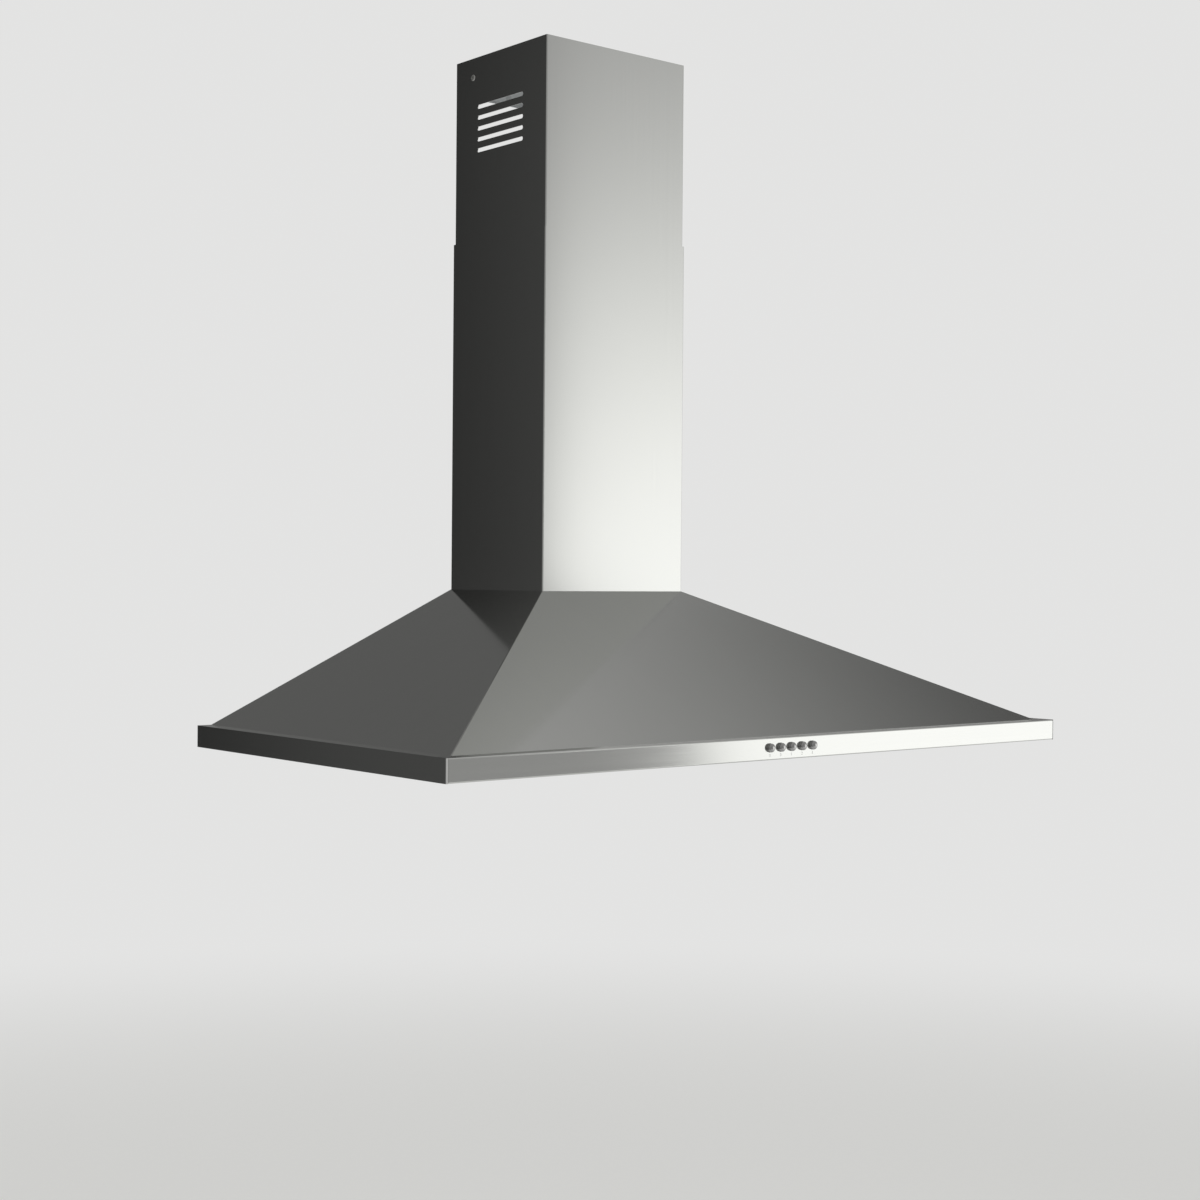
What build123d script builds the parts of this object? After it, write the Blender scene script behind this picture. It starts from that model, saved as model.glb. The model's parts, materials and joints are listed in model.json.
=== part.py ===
from build123d import *
from math import cos, hypot, radians, sin, sqrt, tan
import os

# A wall-hung chimney range hood: a pyramid canopy with a thin rim, a square telescopic duct cover,
# a blower box inside it and two grease filters below.
# Millimetres. X runs to the right as seen from the room, +Y into the wall, Z up.
# The origin is on the wall plane, midway along the hood, level with the underside of the rim.

# ---- driving dimensions: canopy and rim ----
WIDTH = 900.0
DEPTH = 480.0
RIM_HEIGHT = 24.0
LEDGE = 17.0
CANOPY_RISE = 152.0
SHEET = 1.0
CORNER_FOLD = 2.0
CORNER_ROUND = 1.8
FOLD_ROUND = 1.5
RIM_RETURN = 13.0
TOP_FLANGE = 20.0
TRIM_GAP = 0.6
SEAT_GAP = 0.5

# ---- driving dimensions: duct covers ----
DUCT_WIDTH = 215.0
DUCT_DEPTH = 182.0
COVER_RETURN = 15.0
COVER_GAP = 0.5
LOWER_COVER_LENGTH = 420.0
UPPER_COVER_LENGTH = 400.0
COVER_OVERLAP = 180.0
VENT_COUNT = 5
VENT_LENGTH = 90.0
VENT_HEIGHT = 5.0
VENT_PITCH = 13.0
VENT_TOP_MARGIN = 60.0
BRACKET_SHEET = 1.5
BRACKET_HEIGHT = 30.0
BRACKET_TOP_MARGIN = 38.0
BRACKET_REACH = 50.0
BRACKET_SCREW_REACH = 35.0
BRACKET_HOLE_SPACING = 120.0
BRACKET_HOLE_RADIUS = 3.0

# ---- driving dimensions: hanging ----
HOOK_SPACING = 260.0
HOOK_HEIGHT = 125.0
HOOK_HOLE_RADIUS = 4.0
HOOK_PLATE_WIDTH = 50.0
HOOK_PLATE_HEIGHT = 40.0
HOOK_PLATE_THICKNESS = 2.0

# ---- driving dimensions: underside, filters and latches ----
SIDE_MARGIN = 30.0
REAR_MARGIN = 35.0
FRONT_STRIP = 105.0
CENTRE_STRIP = 20.0
OPENING_FLANGE = 10.0
FILTER_THICKNESS = 9.0
FILTER_GAP = 1.5
FILTER_RAIL = 14.0
FILTER_FRONT_LAND = 36.0
MESH_LAYERS = 3
MESH_SHEET = 0.4
TAB_WIDTH = 24.0
TAB_REACH = 6.0
TAB_THICKNESS = 1.2
TAB_INSET = 60.0
LIFT_GAP = 0.1
LATCH_WIDTH = 52.0
LATCH_LENGTH = 14.0
LATCH_TRAVEL = 5.0
LATCH_SIDE_GAP = 0.3
LATCH_WING = 2.0
LATCH_WING_HEIGHT = 2.0
TONGUE_WIDTH = 30.0
TONGUE_THICKNESS = 1.6
TONGUE_END_GAP = 0.3
POCKET_FRONT_WALL = 6.0
SPRING_ROOM = 4.7
POCKET_ROOF = 2.0
SPRING_STRIP = 0.3
SPRING_WIDTH = 5.0
SPRING_WAVES = 3

# ---- driving dimensions: lamps ----
LAMP_SPACING = 600.0
LAMP_HOLE_RADIUS = 28.0
BEZEL_RADIUS = 33.0
BEZEL_WALL = 1.5
BEZEL_LIP = 2.0
BEZEL_UPSTAND = 6.0
LENS_THICKNESS = 2.5
CAN_HEIGHT = 22.0
CAN_WALL = 0.8
LED_BOARD_THICKNESS = 1.6
LED_BOARD_DROP = 8.0
LED_SIZE = 5.0
LED_RING_RADIUS = 12.0
LED_COUNT = 6

# ---- driving dimensions: buttons and switch housing ----
BUTTON_NAMES = ("light", "stop", "speed_1", "speed_2", "speed_3")
BUTTON_PITCH = 16.0
BUTTON_RADIUS = 4.75
BUTTON_HEIGHT = 13.2
BUTTON_PROUD = 5.0
BUTTON_TRAVEL = 3.5
BUTTON_HOLE_GAP = 0.25
BUTTON_FLANGE = 1.2
BUTTON_FLANGE_THICKNESS = 1.4
BUTTON_ROUND = 0.9
STEM_RADIUS = 2.4
STEM_GAP = 0.08
STEM_LENGTH = 19.0
PART_GAP = 0.3
HOUSING_SETBACK = 8.0
HOUSING_DEPTH = 22.0
HOUSING_HEIGHT = 17.0
HOUSING_SIDE = 12.0
HOUSING_EAR = 10.0
HOUSING_EAR_HEIGHT = 10.0

# ---- driving dimensions: blower ----
BOX_SHEET = 1.0
BOX_GAP = 4.0
BOX_REAR_GAP = 8.0
BOX_FLANGE = 13.0
INLET_CLEARANCE = 26.0
SCROLL_WALL = 2.0
SCROLL_LEFT_CLEARANCE = 10.0
SCROLL_RIGHT_CLEARANCE = 26.0
SCROLL_BOTTOM_CLEARANCE = 16.0
SPIRAL_GROWTH = 7.0
FAN_CLEARANCE = 7.5
TONGUE_CLEARANCE = 6.0
TONGUE_RADIUS = 12.0
NECK_RISE = 40.0
AXIAL_CLEARANCE = 3.5
INLET_STEP = 8.0
BLADE_COUNT = 36
BLADE_CHORD = 11.0
BLADE_THICKNESS = 0.8
BLADE_ANGLE = 35.0
FAN_RING_WIDTH = 11.0
FAN_RING_THICKNESS = 2.0
HUB_DISC = 2.0
HUB_RADIUS = 9.0
HUB_LENGTH = 13.0
MOTOR_RADIUS = 41.0
MOTOR_WALL = 2.0
MOTOR_FAN_GAP = 4.0
SHAFT_RADIUS = 4.0
SHAFT_CLEARANCE = 0.05
BUSH_RADIUS = 7.0
BUSH_LENGTH = 8.0
FIT_GAP = 0.02
STATOR_INNER_RADIUS = 22.0
STATOR_LENGTH = 28.0
CORE_AIR_GAP = 1.0
ARM_COUNT = 3
ARM_START = 75.0
ARM_WIDTH = 12.0
ARM_THICKNESS = 3.0
TERMINAL_BOSS = 16.0
TERMINAL_BOSS_DEPTH = 12.0

# ---- driving dimensions: outlet collar and flaps ----
COLLAR_RADIUS = 75.0
COLLAR_WALL = 1.5
COLLAR_FLANGE = 4.0
COLLAR_LENGTH = 42.0
FLAP_HEIGHT = 14.0
FLAP_PIN_SPACING = 8.0
FLAP_PIN_RADIUS = 1.5
FLAP_PIN_GAP = 0.05
KNUCKLE_WALL = 1.0
FLAP_THICKNESS = 1.2
FLAP_EDGE_GAP = 1.5

# ---- driving dimensions: electrics ----
JBOX_CENTRE = 180.0
JBOX_BOTTOM = 40.0
JBOX_WIDTH = 100.0
JBOX_HEIGHT = 55.0
JBOX_DEPTH = 42.0
JBOX_WALL = 2.0
JBOX_POST = 8.0
GLAND_RADIUS = 9.0
GLAND_BORE_RADIUS = 4.0
GLAND_HEIGHT = 14.0
GLAND_OFFSET = 25.0
CAPACITOR_RADIUS = 12.0
CAPACITOR_LENGTH = 36.0
TERMINAL_WAYS = 6
TERMINAL_PITCH = 7.0
TERMINAL_SHELF = 16.5
TERMINAL_DEPTH = 21.0
TERMINAL_HEIGHT = 17.5
TERMINAL_BORE_RADIUS = 2.3
TERMINAL_BORE_DEPTH = 7.0
LOOM_RADIUS = 3.0
LEAD_RADIUS = 2.0
MOTOR_LEAD_RADIUS = 2.5
CLIP_STRIP = 1.2
CLIP_WIDTH = 8.0
CLIP_COUNT = 3
LOOM_EXIT = 20.0
LOOM_LEVEL_REAR = 110.0
LOOM_LEVEL_GAP = 79.0
LOOM_RISE_GAP = 37.0
LOOM_END_RISE = 4.0
MOTOR_LEAD_EXIT = 40.0
LEAD_SETBACK = 4.0
# Each point of a lamp's lead: its share of the way across, its share of the way back, its height.
LEAD_ROUTE = (
    (0.0, 0.0, 7.0), (0.12, 0.0, 7.0), (0.35, 0.17, 3.0), (0.63, 0.67, 3.0), (0.87, 1.0, 7.0),
    (1.0, 1.0, 7.0),
)

# ---- driving dimensions: screws ----
SCREW_RADIUS = 1.9
SCREW_HEAD_RADIUS = 3.6
SCREW_HEAD_HEIGHT = 2.2
SCREW_HOLE_GAP = 0.2
SCREW_LENGTH = 8.0
FLUSH_HEAD_RADIUS = 3.5
FLUSH_HEAD_DEPTH = 1.6
PANEL_SCREW_INSET = 70.0

# ---- places worked out from the driving dimensions ----
HALF_WIDTH = WIDTH / 2
CANOPY_TOP = RIM_HEIGHT + CANOPY_RISE
PYRAMID_HALF = HALF_WIDTH - LEDGE
PYRAMID_FRONT = -(DEPTH - LEDGE)
DUCT_HALF = DUCT_WIDTH / 2
SIDE_RUN = PYRAMID_HALF - DUCT_HALF
FRONT_RUN = DEPTH - LEDGE - DUCT_DEPTH
SIDE_SKIN = SHEET * hypot(SIDE_RUN, CANOPY_RISE) / CANOPY_RISE
FRONT_SKIN = SHEET * hypot(FRONT_RUN, CANOPY_RISE) / CANOPY_RISE
FASCIA_HALF = HALF_WIDTH - CORNER_FOLD - SEAT_GAP / 2
FASCIA_BACK = -(DEPTH - SHEET)

PANEL_BOTTOM = SHEET
PANEL_TOP = 2 * SHEET
PANEL_HALF = HALF_WIDTH - SHEET - SEAT_GAP
PANEL_FRONT = FASCIA_BACK + SEAT_GAP
PANEL_REAR = -SHEET - SEAT_GAP
OPENING_INNER = CENTRE_STRIP / 2
OPENING_OUTER = HALF_WIDTH - SIDE_MARGIN
OPENING_FRONT = -(DEPTH - FRONT_STRIP)
OPENING_REAR = -REAR_MARGIN
OPENING_CENTRE = (OPENING_INNER + OPENING_OUTER) / 2
FLANGE_TOP = PANEL_TOP + OPENING_FLANGE
LAMP_Y = -(DEPTH - FRONT_STRIP / 2 - SHEET)
FILTER_TOP = PANEL_BOTTOM + FILTER_THICKNESS

BOX_HALF = DUCT_HALF - 2 * SHEET - COVER_GAP - BOX_GAP
BOX_FRONT = -(DUCT_DEPTH - 2 * SHEET - COVER_GAP - BOX_GAP)
BOX_REAR = -BOX_REAR_GAP
BOX_MIDDLE = (BOX_FRONT + BOX_REAR) / 2
SCROLL_FRONT = BOX_FRONT + BOX_SHEET + INLET_CLEARANCE
SCROLL_REAR = BOX_REAR - BOX_SHEET - INLET_CLEARANCE
SCROLL_SPAN = 2 * (BOX_HALF - BOX_SHEET) - SCROLL_LEFT_CLEARANCE - SCROLL_RIGHT_CLEARANCE
SPIRAL_1 = (SCROLL_SPAN - 3 * SPIRAL_GROWTH) / 2
SPIRAL_2 = SPIRAL_1 + SPIRAL_GROWTH
SPIRAL_3 = SPIRAL_2 + SPIRAL_GROWTH
FAN_RADIUS = SPIRAL_1 - SCROLL_WALL - FAN_CLEARANCE
FAN_X = -(BOX_HALF - BOX_SHEET) + SCROLL_LEFT_CLEARANCE + SPIRAL_1
SPIRAL_TOP = CANOPY_TOP + SCROLL_BOTTOM_CLEARANCE + SPIRAL_1 + SPIRAL_2
FAN_Z = SPIRAL_TOP - FAN_RADIUS - SCROLL_WALL - TONGUE_CLEARANCE
NECK_TOP = SPIRAL_TOP + TONGUE_RADIUS + NECK_RISE
NECK_LEFT = FAN_X + TONGUE_RADIUS
NECK_RIGHT = FAN_X - SPIRAL_1 + SPIRAL_2 + SPIRAL_3
BOX_TOP = NECK_TOP + BOX_SHEET
INLET_RADIUS = FAN_RADIUS - INLET_STEP
FAN_FRONT = SCROLL_FRONT + SCROLL_WALL + AXIAL_CLEARANCE
FAN_REAR = SCROLL_REAR - SCROLL_WALL - AXIAL_CLEARANCE
DISC_FRONT = BOX_MIDDLE - HUB_DISC / 2
DISC_REAR = BOX_MIDDLE + HUB_DISC / 2
MOTOR_FRONT = DISC_REAR + MOTOR_FAN_GAP
HUB_FRONT = DISC_REAR - HUB_LENGTH
STATOR_RADIUS = MOTOR_RADIUS - MOTOR_WALL - FIT_GAP
STATOR_MIDDLE = (MOTOR_FRONT + MOTOR_WALL + SCROLL_REAR) / 2
COLLAR_TOP = BOX_TOP + COLLAR_LENGTH
COLLAR_INNER = COLLAR_RADIUS - COLLAR_WALL
FLAP_Z = BOX_TOP + FLAP_HEIGHT
KNUCKLE_BORE = FLAP_PIN_RADIUS + FLAP_PIN_GAP
KNUCKLE_RADIUS = KNUCKLE_BORE + KNUCKLE_WALL

UPPER_HALF = DUCT_HALF - SHEET - COVER_GAP
UPPER_FRONT = -(DUCT_DEPTH - SHEET - COVER_GAP)
UPPER_REAR = -(SHEET + COVER_GAP)
LOWER_COVER_TOP = CANOPY_TOP + LOWER_COVER_LENGTH
UPPER_COVER_BOTTOM = LOWER_COVER_TOP - COVER_OVERLAP
UPPER_COVER_TOP = UPPER_COVER_BOTTOM + UPPER_COVER_LENGTH
BRACKET_BOTTOM = UPPER_COVER_TOP - BRACKET_TOP_MARGIN
BRACKET_MIDDLE = BRACKET_BOTTOM + BRACKET_HEIGHT / 2
BRACKET_WING = UPPER_HALF - SHEET

FASCIA_HOLE_RADIUS = BUTTON_RADIUS + BUTTON_HOLE_GAP
BUTTON_FRONT = -(DEPTH + BUTTON_PROUD)
HOUSING_FRONT = FASCIA_BACK + HOUSING_SETBACK
HOUSING_REAR = HOUSING_FRONT + HOUSING_DEPTH
HOUSING_HALF = BUTTON_PITCH * (len(BUTTON_NAMES) - 1) / 2 + HOUSING_SIDE
HOUSING_BOTTOM = PANEL_TOP + SEAT_GAP
HOUSING_TOP = HOUSING_BOTTOM + HOUSING_HEIGHT
JBOX_LEFT = JBOX_CENTRE - JBOX_WIDTH / 2
JBOX_RIGHT = JBOX_CENTRE + JBOX_WIDTH / 2
JBOX_TOP = JBOX_BOTTOM + JBOX_HEIGHT
JBOX_REAR = -SHEET
JBOX_FRONT = JBOX_REAR - JBOX_DEPTH
SCREW_HOLE_RADIUS = SCREW_RADIUS + SCREW_HOLE_GAP

pieces = {}


# ---- helpers ----
def block(x, y, z, mode=Mode.ADD):
    """Add or cut a box given by its (low, high) limits along X, Y and Z."""
    centre = ((x[0] + x[1]) / 2, (y[0] + y[1]) / 2, (z[0] + z[1]) / 2)
    with Locations(centre):
        Box(x[1] - x[0], y[1] - y[0], z[1] - z[0], mode=mode)


def facing_room(y):
    """The upright plane at this Y: its sketches lie in X and Z, and extrude towards the room."""
    return Plane.XZ.offset(-y)


def rod(x, z, y_front, y_rear, radius, mode=Mode.ADD):
    """Add or cut a round bar along Y."""
    with BuildSketch(facing_room(y_rear)) as section:
        with Locations((x, z)):
            Circle(radius)
    extrude(section.sketch, amount=y_rear - y_front, mode=mode)


def cross_rod(y, z, half_length, radius, mode=Mode.ADD):
    """Add or cut a round bar along X, midway on the hood."""
    with BuildSketch(Plane.YZ.offset(-half_length)) as section:
        with Locations((y, z)):
            Circle(radius)
    extrude(section.sketch, amount=2 * half_length, mode=mode)


def post(x, y, z_low, z_high, radius, mode=Mode.ADD):
    """Add or cut a round bar along Z."""
    with BuildSketch(Plane.XY.offset(z_low)) as section:
        with Locations((x, y)):
            Circle(radius)
    extrude(section.sketch, amount=z_high - z_low, mode=mode)


def frustum(half_low, front_low, z_low, half_high, front_high, z_high, rear, mode=Mode.ADD):
    """Add or cut a pyramid stump with an upright rear face, open to any skin thickness."""
    with BuildSketch(Plane.XY.offset(z_low)) as low:
        with Locations((0, (front_low + rear) / 2)):
            Rectangle(2 * half_low, rear - front_low)
    with BuildSketch(Plane.XY.offset(z_high)) as high:
        with Locations((0, (front_high + rear) / 2)):
            Rectangle(2 * half_high, rear - front_high)
    loft((low.sketch.face(), high.sketch.face()), mode=mode)


def cable(points, radius):
    """Sweep a round lead along straight runs joined by arcs as large as the runs allow."""
    runs = [Vector(*b) - Vector(*a) for a, b in zip(points, points[1:])]
    bends = []
    for before, after in zip(runs, runs[1:]):
        turn = radians(before.get_angle(after))
        bends.append(0.45 * min(before.length, after.length) / tan(turn / 2))
    print("lead radii", [round(bend, 1) for bend in bends])
    with BuildLine() as path:
        FilletPolyline(*points, radius=bends)
    with BuildSketch(Plane(origin=points[0], z_dir=runs[0].normalized())) as section:
        Circle(radius)
    sweep(section.sketch, path=path.line)


def pan_screw(x, y, z, direction):
    """Add a pan-head screw: its head's seat is at the point, its shank runs along the direction."""
    seat = Plane(origin=(x, y, z), z_dir=direction)
    with BuildSketch(seat) as shank:
        Circle(SCREW_RADIUS)
    extrude(shank.sketch, amount=SCREW_LENGTH)
    with BuildSketch(seat) as head:
        Circle(SCREW_HEAD_RADIUS)
    extrude(head.sketch, amount=-SCREW_HEAD_HEIGHT)


def flush_screw(x, y, gap=0.0, mode=Mode.ADD):
    """Add a countersunk screw whose head is flush with the rim's underside, or cut its hole."""
    with Locations((x, y, FLUSH_HEAD_DEPTH / 2)):
        Cone(FLUSH_HEAD_RADIUS + gap, SCREW_RADIUS + gap, FLUSH_HEAD_DEPTH, mode=mode)
    post(x, y, FLUSH_HEAD_DEPTH, FLUSH_HEAD_DEPTH + SCREW_LENGTH, SCREW_RADIUS + gap, mode)


# ---- where the screws go ----
side_screw_places = [
    (side * (HALF_WIDTH - RIM_RETURN / 2), y)
    for side in (-1, 1)
    for y in (-PANEL_SCREW_INSET, OPENING_FRONT + PANEL_SCREW_INSET)
]
front_screw_places = [
    (side * x, FASCIA_BACK + RIM_RETURN / 2)
    for side in (-1, 1)
    for x in (OPENING_INNER + PANEL_SCREW_INSET, HALF_WIDTH - PANEL_SCREW_INSET)
]
cover_screw_places = (
    (JBOX_LEFT + JBOX_WALL + JBOX_POST / 2, JBOX_TOP - JBOX_WALL - JBOX_POST / 2),
    (JBOX_RIGHT - JBOX_WALL - JBOX_POST / 2, JBOX_TOP - JBOX_WALL - JBOX_POST / 2),
)
box_screw_places = [
    (side * (BOX_HALF - BOX_FLANGE / 2), y)
    for side in (-1, 1)
    for y in (BOX_FRONT + 2 * BOX_FLANGE, BOX_REAR - 2 * BOX_FLANGE)
]

# ---- canopy shell: pyramid, ledges, side bands, returns and top flange ----
with BuildPart() as canopy_shell:
    frustum(PYRAMID_HALF, PYRAMID_FRONT, RIM_HEIGHT, DUCT_HALF, -DUCT_DEPTH, CANOPY_TOP, -SHEET)
    slanting = canopy_shell.edges().group_by(Axis.Z)[1]
    fillet(slanting.group_by(Axis.Y)[0], radius=FOLD_ROUND)
    frustum(
        PYRAMID_HALF - SIDE_SKIN, PYRAMID_FRONT + FRONT_SKIN, RIM_HEIGHT,
        DUCT_HALF - SIDE_SKIN, -DUCT_DEPTH + FRONT_SKIN, CANOPY_TOP, -SHEET, Mode.SUBTRACT,
    )
    # The front ledge is joggled one sheet lower, so that the fascia's top return lies flush.
    joggle = RIM_HEIGHT - 2 * SHEET
    block(
        (-PYRAMID_HALF, PYRAMID_HALF), (PYRAMID_FRONT, PYRAMID_FRONT + FRONT_SKIN), (joggle, RIM_HEIGHT),
    )
    block(
        (-HALF_WIDTH + SHEET, HALF_WIDTH - SHEET),
        (FASCIA_BACK + SEAT_GAP, PYRAMID_FRONT + FRONT_SKIN), (joggle, joggle + SHEET),
    )
    for side in (-1, 1):
        ledge = sorted((side * (PYRAMID_HALF - SIDE_SKIN), side * HALF_WIDTH))
        band = sorted((side * (HALF_WIDTH - SHEET), side * HALF_WIDTH))
        fold = sorted((side * (HALF_WIDTH - CORNER_FOLD), side * HALF_WIDTH))
        underside = sorted((side * (HALF_WIDTH - RIM_RETURN), side * HALF_WIDTH))
        block(ledge, (PYRAMID_FRONT, -SHEET), (RIM_HEIGHT - SHEET, RIM_HEIGHT))
        block(band, (-DEPTH, -SHEET), (0, RIM_HEIGHT))
        block(fold, (-DEPTH, FASCIA_BACK), (0, RIM_HEIGHT))
        block(underside, (FASCIA_BACK + RIM_RETURN, -SHEET), (0, SHEET))
    # The side bands' front corners are folded round.
    across = canopy_shell.edges().filter_by(Axis.Z).group_by(Axis.Y)[0].group_by(Axis.X)
    fillet(across[0] + across[-1], radius=CORNER_ROUND)
    # The flange that carries the blower box and the lower duct cover.
    flange_levels = (CANOPY_TOP - SHEET, CANOPY_TOP)
    block((-DUCT_HALF + SHEET, DUCT_HALF - SHEET), (-DUCT_DEPTH + SHEET, -SHEET), flange_levels)
    block(
        (-DUCT_HALF + TOP_FLANGE, DUCT_HALF - TOP_FLANGE), (-DUCT_DEPTH + TOP_FLANGE, -SHEET),
        flange_levels, Mode.SUBTRACT,
    )
    for x, y in box_screw_places:
        post(x, y, *flange_levels, SCREW_RADIUS, Mode.SUBTRACT)
    for x, y in side_screw_places:
        flush_screw(x, y, FIT_GAP, Mode.SUBTRACT)
pieces["canopy_shell"] = canopy_shell

# ---- front fascia: a folded strip between the side bands ----
button_places = [
    (BUTTON_PITCH * (number - (len(BUTTON_NAMES) - 1) / 2), BUTTON_HEIGHT)
    for number in range(len(BUTTON_NAMES))
]
with BuildPart() as front_fascia:
    fascia_width = (-FASCIA_HALF, FASCIA_HALF)
    block(fascia_width, (-DEPTH, FASCIA_BACK), (0, RIM_HEIGHT))
    block(fascia_width, (-DEPTH, PYRAMID_FRONT - TRIM_GAP), (RIM_HEIGHT - SHEET, RIM_HEIGHT))
    block(fascia_width, (-DEPTH, FASCIA_BACK + RIM_RETURN - SEAT_GAP), (0, SHEET))
    fillet(front_fascia.edges().filter_by(Axis.X).group_by(Axis.Y)[1], radius=FOLD_ROUND - SHEET)
    fillet(front_fascia.edges().filter_by(Axis.X).group_by(Axis.Y)[0], radius=FOLD_ROUND)
    with BuildSketch(facing_room(FASCIA_BACK)):
        with Locations(*button_places):
            Circle(FASCIA_HOLE_RADIUS)
    extrude(amount=2 * SHEET, mode=Mode.SUBTRACT)
    for x, y in front_screw_places:
        flush_screw(x, y, FIT_GAP, Mode.SUBTRACT)
pieces["front_fascia"] = front_fascia

# ---- back panel: galvanised sheet on the wall, with a bottom flange under the underside panel ----
with BuildPart() as back_panel:
    with BuildSketch(facing_room(0)):
        with BuildLine():
            Polyline(
                (-HALF_WIDTH, 0), (HALF_WIDTH, 0), (HALF_WIDTH, RIM_HEIGHT), (PYRAMID_HALF, RIM_HEIGHT),
                (DUCT_HALF, CANOPY_TOP), (-DUCT_HALF, CANOPY_TOP), (-PYRAMID_HALF, RIM_HEIGHT),
                (-HALF_WIDTH, RIM_HEIGHT), close=True,
            )
        make_face()
        with Locations((0, HOOK_HEIGHT)):
            with GridLocations(HOOK_SPACING, 0, 2, 1):
                Circle(HOOK_HOLE_RADIUS, mode=Mode.SUBTRACT)
    extrude(amount=SHEET)
    rear_return = HALF_WIDTH - RIM_RETURN - SEAT_GAP
    block((-rear_return, rear_return), (-RIM_RETURN, -SHEET), (0, SHEET))
pieces["back_panel"] = back_panel

# ---- hanging brackets: plates that stiffen the panel at its two hook holes ----
with BuildPart() as hanging_brackets:
    with BuildSketch(facing_room(-SHEET)):
        with Locations((0, HOOK_HEIGHT)):
            with GridLocations(HOOK_SPACING, 0, 2, 1):
                Rectangle(HOOK_PLATE_WIDTH, HOOK_PLATE_HEIGHT)
                Circle(HOOK_HOLE_RADIUS, mode=Mode.SUBTRACT)
    extrude(amount=HOOK_PLATE_THICKNESS)
pieces["hanging_brackets"] = hanging_brackets

# ---- underside: a front strip that carries the lamps, and a panel with the two filter openings ----
# Both are folded up around the openings, and meet edge to edge at the openings' front.
with BuildPart() as lamp_strip:
    block((-PANEL_HALF, PANEL_HALF), (PANEL_FRONT, OPENING_FRONT), (PANEL_BOTTOM, PANEL_TOP))
    for side in (-1, 1):
        block(
            sorted((side * (OPENING_INNER - SHEET), side * (OPENING_OUTER + SHEET))),
            (OPENING_FRONT - SHEET, OPENING_FRONT), (PANEL_TOP, FLANGE_TOP),
        )
        post(side * LAMP_SPACING / 2, LAMP_Y, PANEL_BOTTOM, PANEL_TOP, LAMP_HOLE_RADIUS, Mode.SUBTRACT)
    for x, y in front_screw_places:
        flush_screw(x, y, FIT_GAP, Mode.SUBTRACT)
pieces["lamp_strip"] = lamp_strip

with BuildPart() as underside_panel:
    block((-PANEL_HALF, PANEL_HALF), (OPENING_FRONT, PANEL_REAR), (PANEL_BOTTOM, PANEL_TOP))
    for side in (-1, 1):
        opening = sorted((side * OPENING_INNER, side * OPENING_OUTER))
        collar = (opening[0] - SHEET, opening[1] + SHEET)
        flange_depth = (OPENING_FRONT, OPENING_REAR - OPENING_FLANGE)
        block(collar, flange_depth, (PANEL_TOP, FLANGE_TOP))
        block(opening, flange_depth, (PANEL_TOP, FLANGE_TOP), Mode.SUBTRACT)
        block(opening, (OPENING_FRONT, OPENING_REAR), (0, PANEL_TOP), Mode.SUBTRACT)
    for x, y in side_screw_places:
        flush_screw(x, y, FIT_GAP, Mode.SUBTRACT)
pieces["underside_panel"] = underside_panel


# ---- duct covers: folded channels, open at the back, with returns along the wall ----
def duct_channel(half, front, rear, bottom, top):
    """Add a three-sided channel with rounded folds and with returns at its open rear side."""
    with BuildSketch(Plane.XY.offset(bottom)) as section:
        with Locations((0, (front + rear) / 2)):
            RectangleRounded(2 * half, rear - front, FOLD_ROUND)
            RectangleRounded(
                2 * (half - SHEET), rear - front - 2 * SHEET, FOLD_ROUND - SHEET, mode=Mode.SUBTRACT,
            )
    extrude(section.sketch, amount=top - bottom)
    slot = half - COVER_RETURN
    block((-slot, slot), (rear - 2 * SHEET, rear), (bottom, top), Mode.SUBTRACT)


with BuildPart() as duct_cover_lower:
    duct_channel(DUCT_HALF, -DUCT_DEPTH, 0, CANOPY_TOP, LOWER_COVER_TOP)
pieces["duct_cover_lower"] = duct_cover_lower

screw_y = UPPER_REAR - BRACKET_SCREW_REACH
with BuildPart() as duct_cover_upper:
    duct_channel(UPPER_HALF, UPPER_FRONT, UPPER_REAR, UPPER_COVER_BOTTOM, UPPER_COVER_TOP)
    # Air outlets for a hood that returns its air to the room: rows of slots in both sides.
    vent_centre = UPPER_COVER_TOP - VENT_TOP_MARGIN - (VENT_COUNT - 1) / 2 * VENT_PITCH
    with BuildSketch(Plane.YZ.offset(-DUCT_HALF)):
        with Locations(((UPPER_FRONT + UPPER_REAR) / 2, vent_centre)):
            with GridLocations(0, VENT_PITCH, 1, VENT_COUNT):
                SlotOverall(VENT_LENGTH, VENT_HEIGHT)
    extrude(amount=DUCT_WIDTH, mode=Mode.SUBTRACT)
    cross_rod(screw_y, BRACKET_MIDDLE, DUCT_HALF, SCREW_HOLE_RADIUS, Mode.SUBTRACT)
pieces["duct_cover_upper"] = duct_cover_upper

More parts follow.
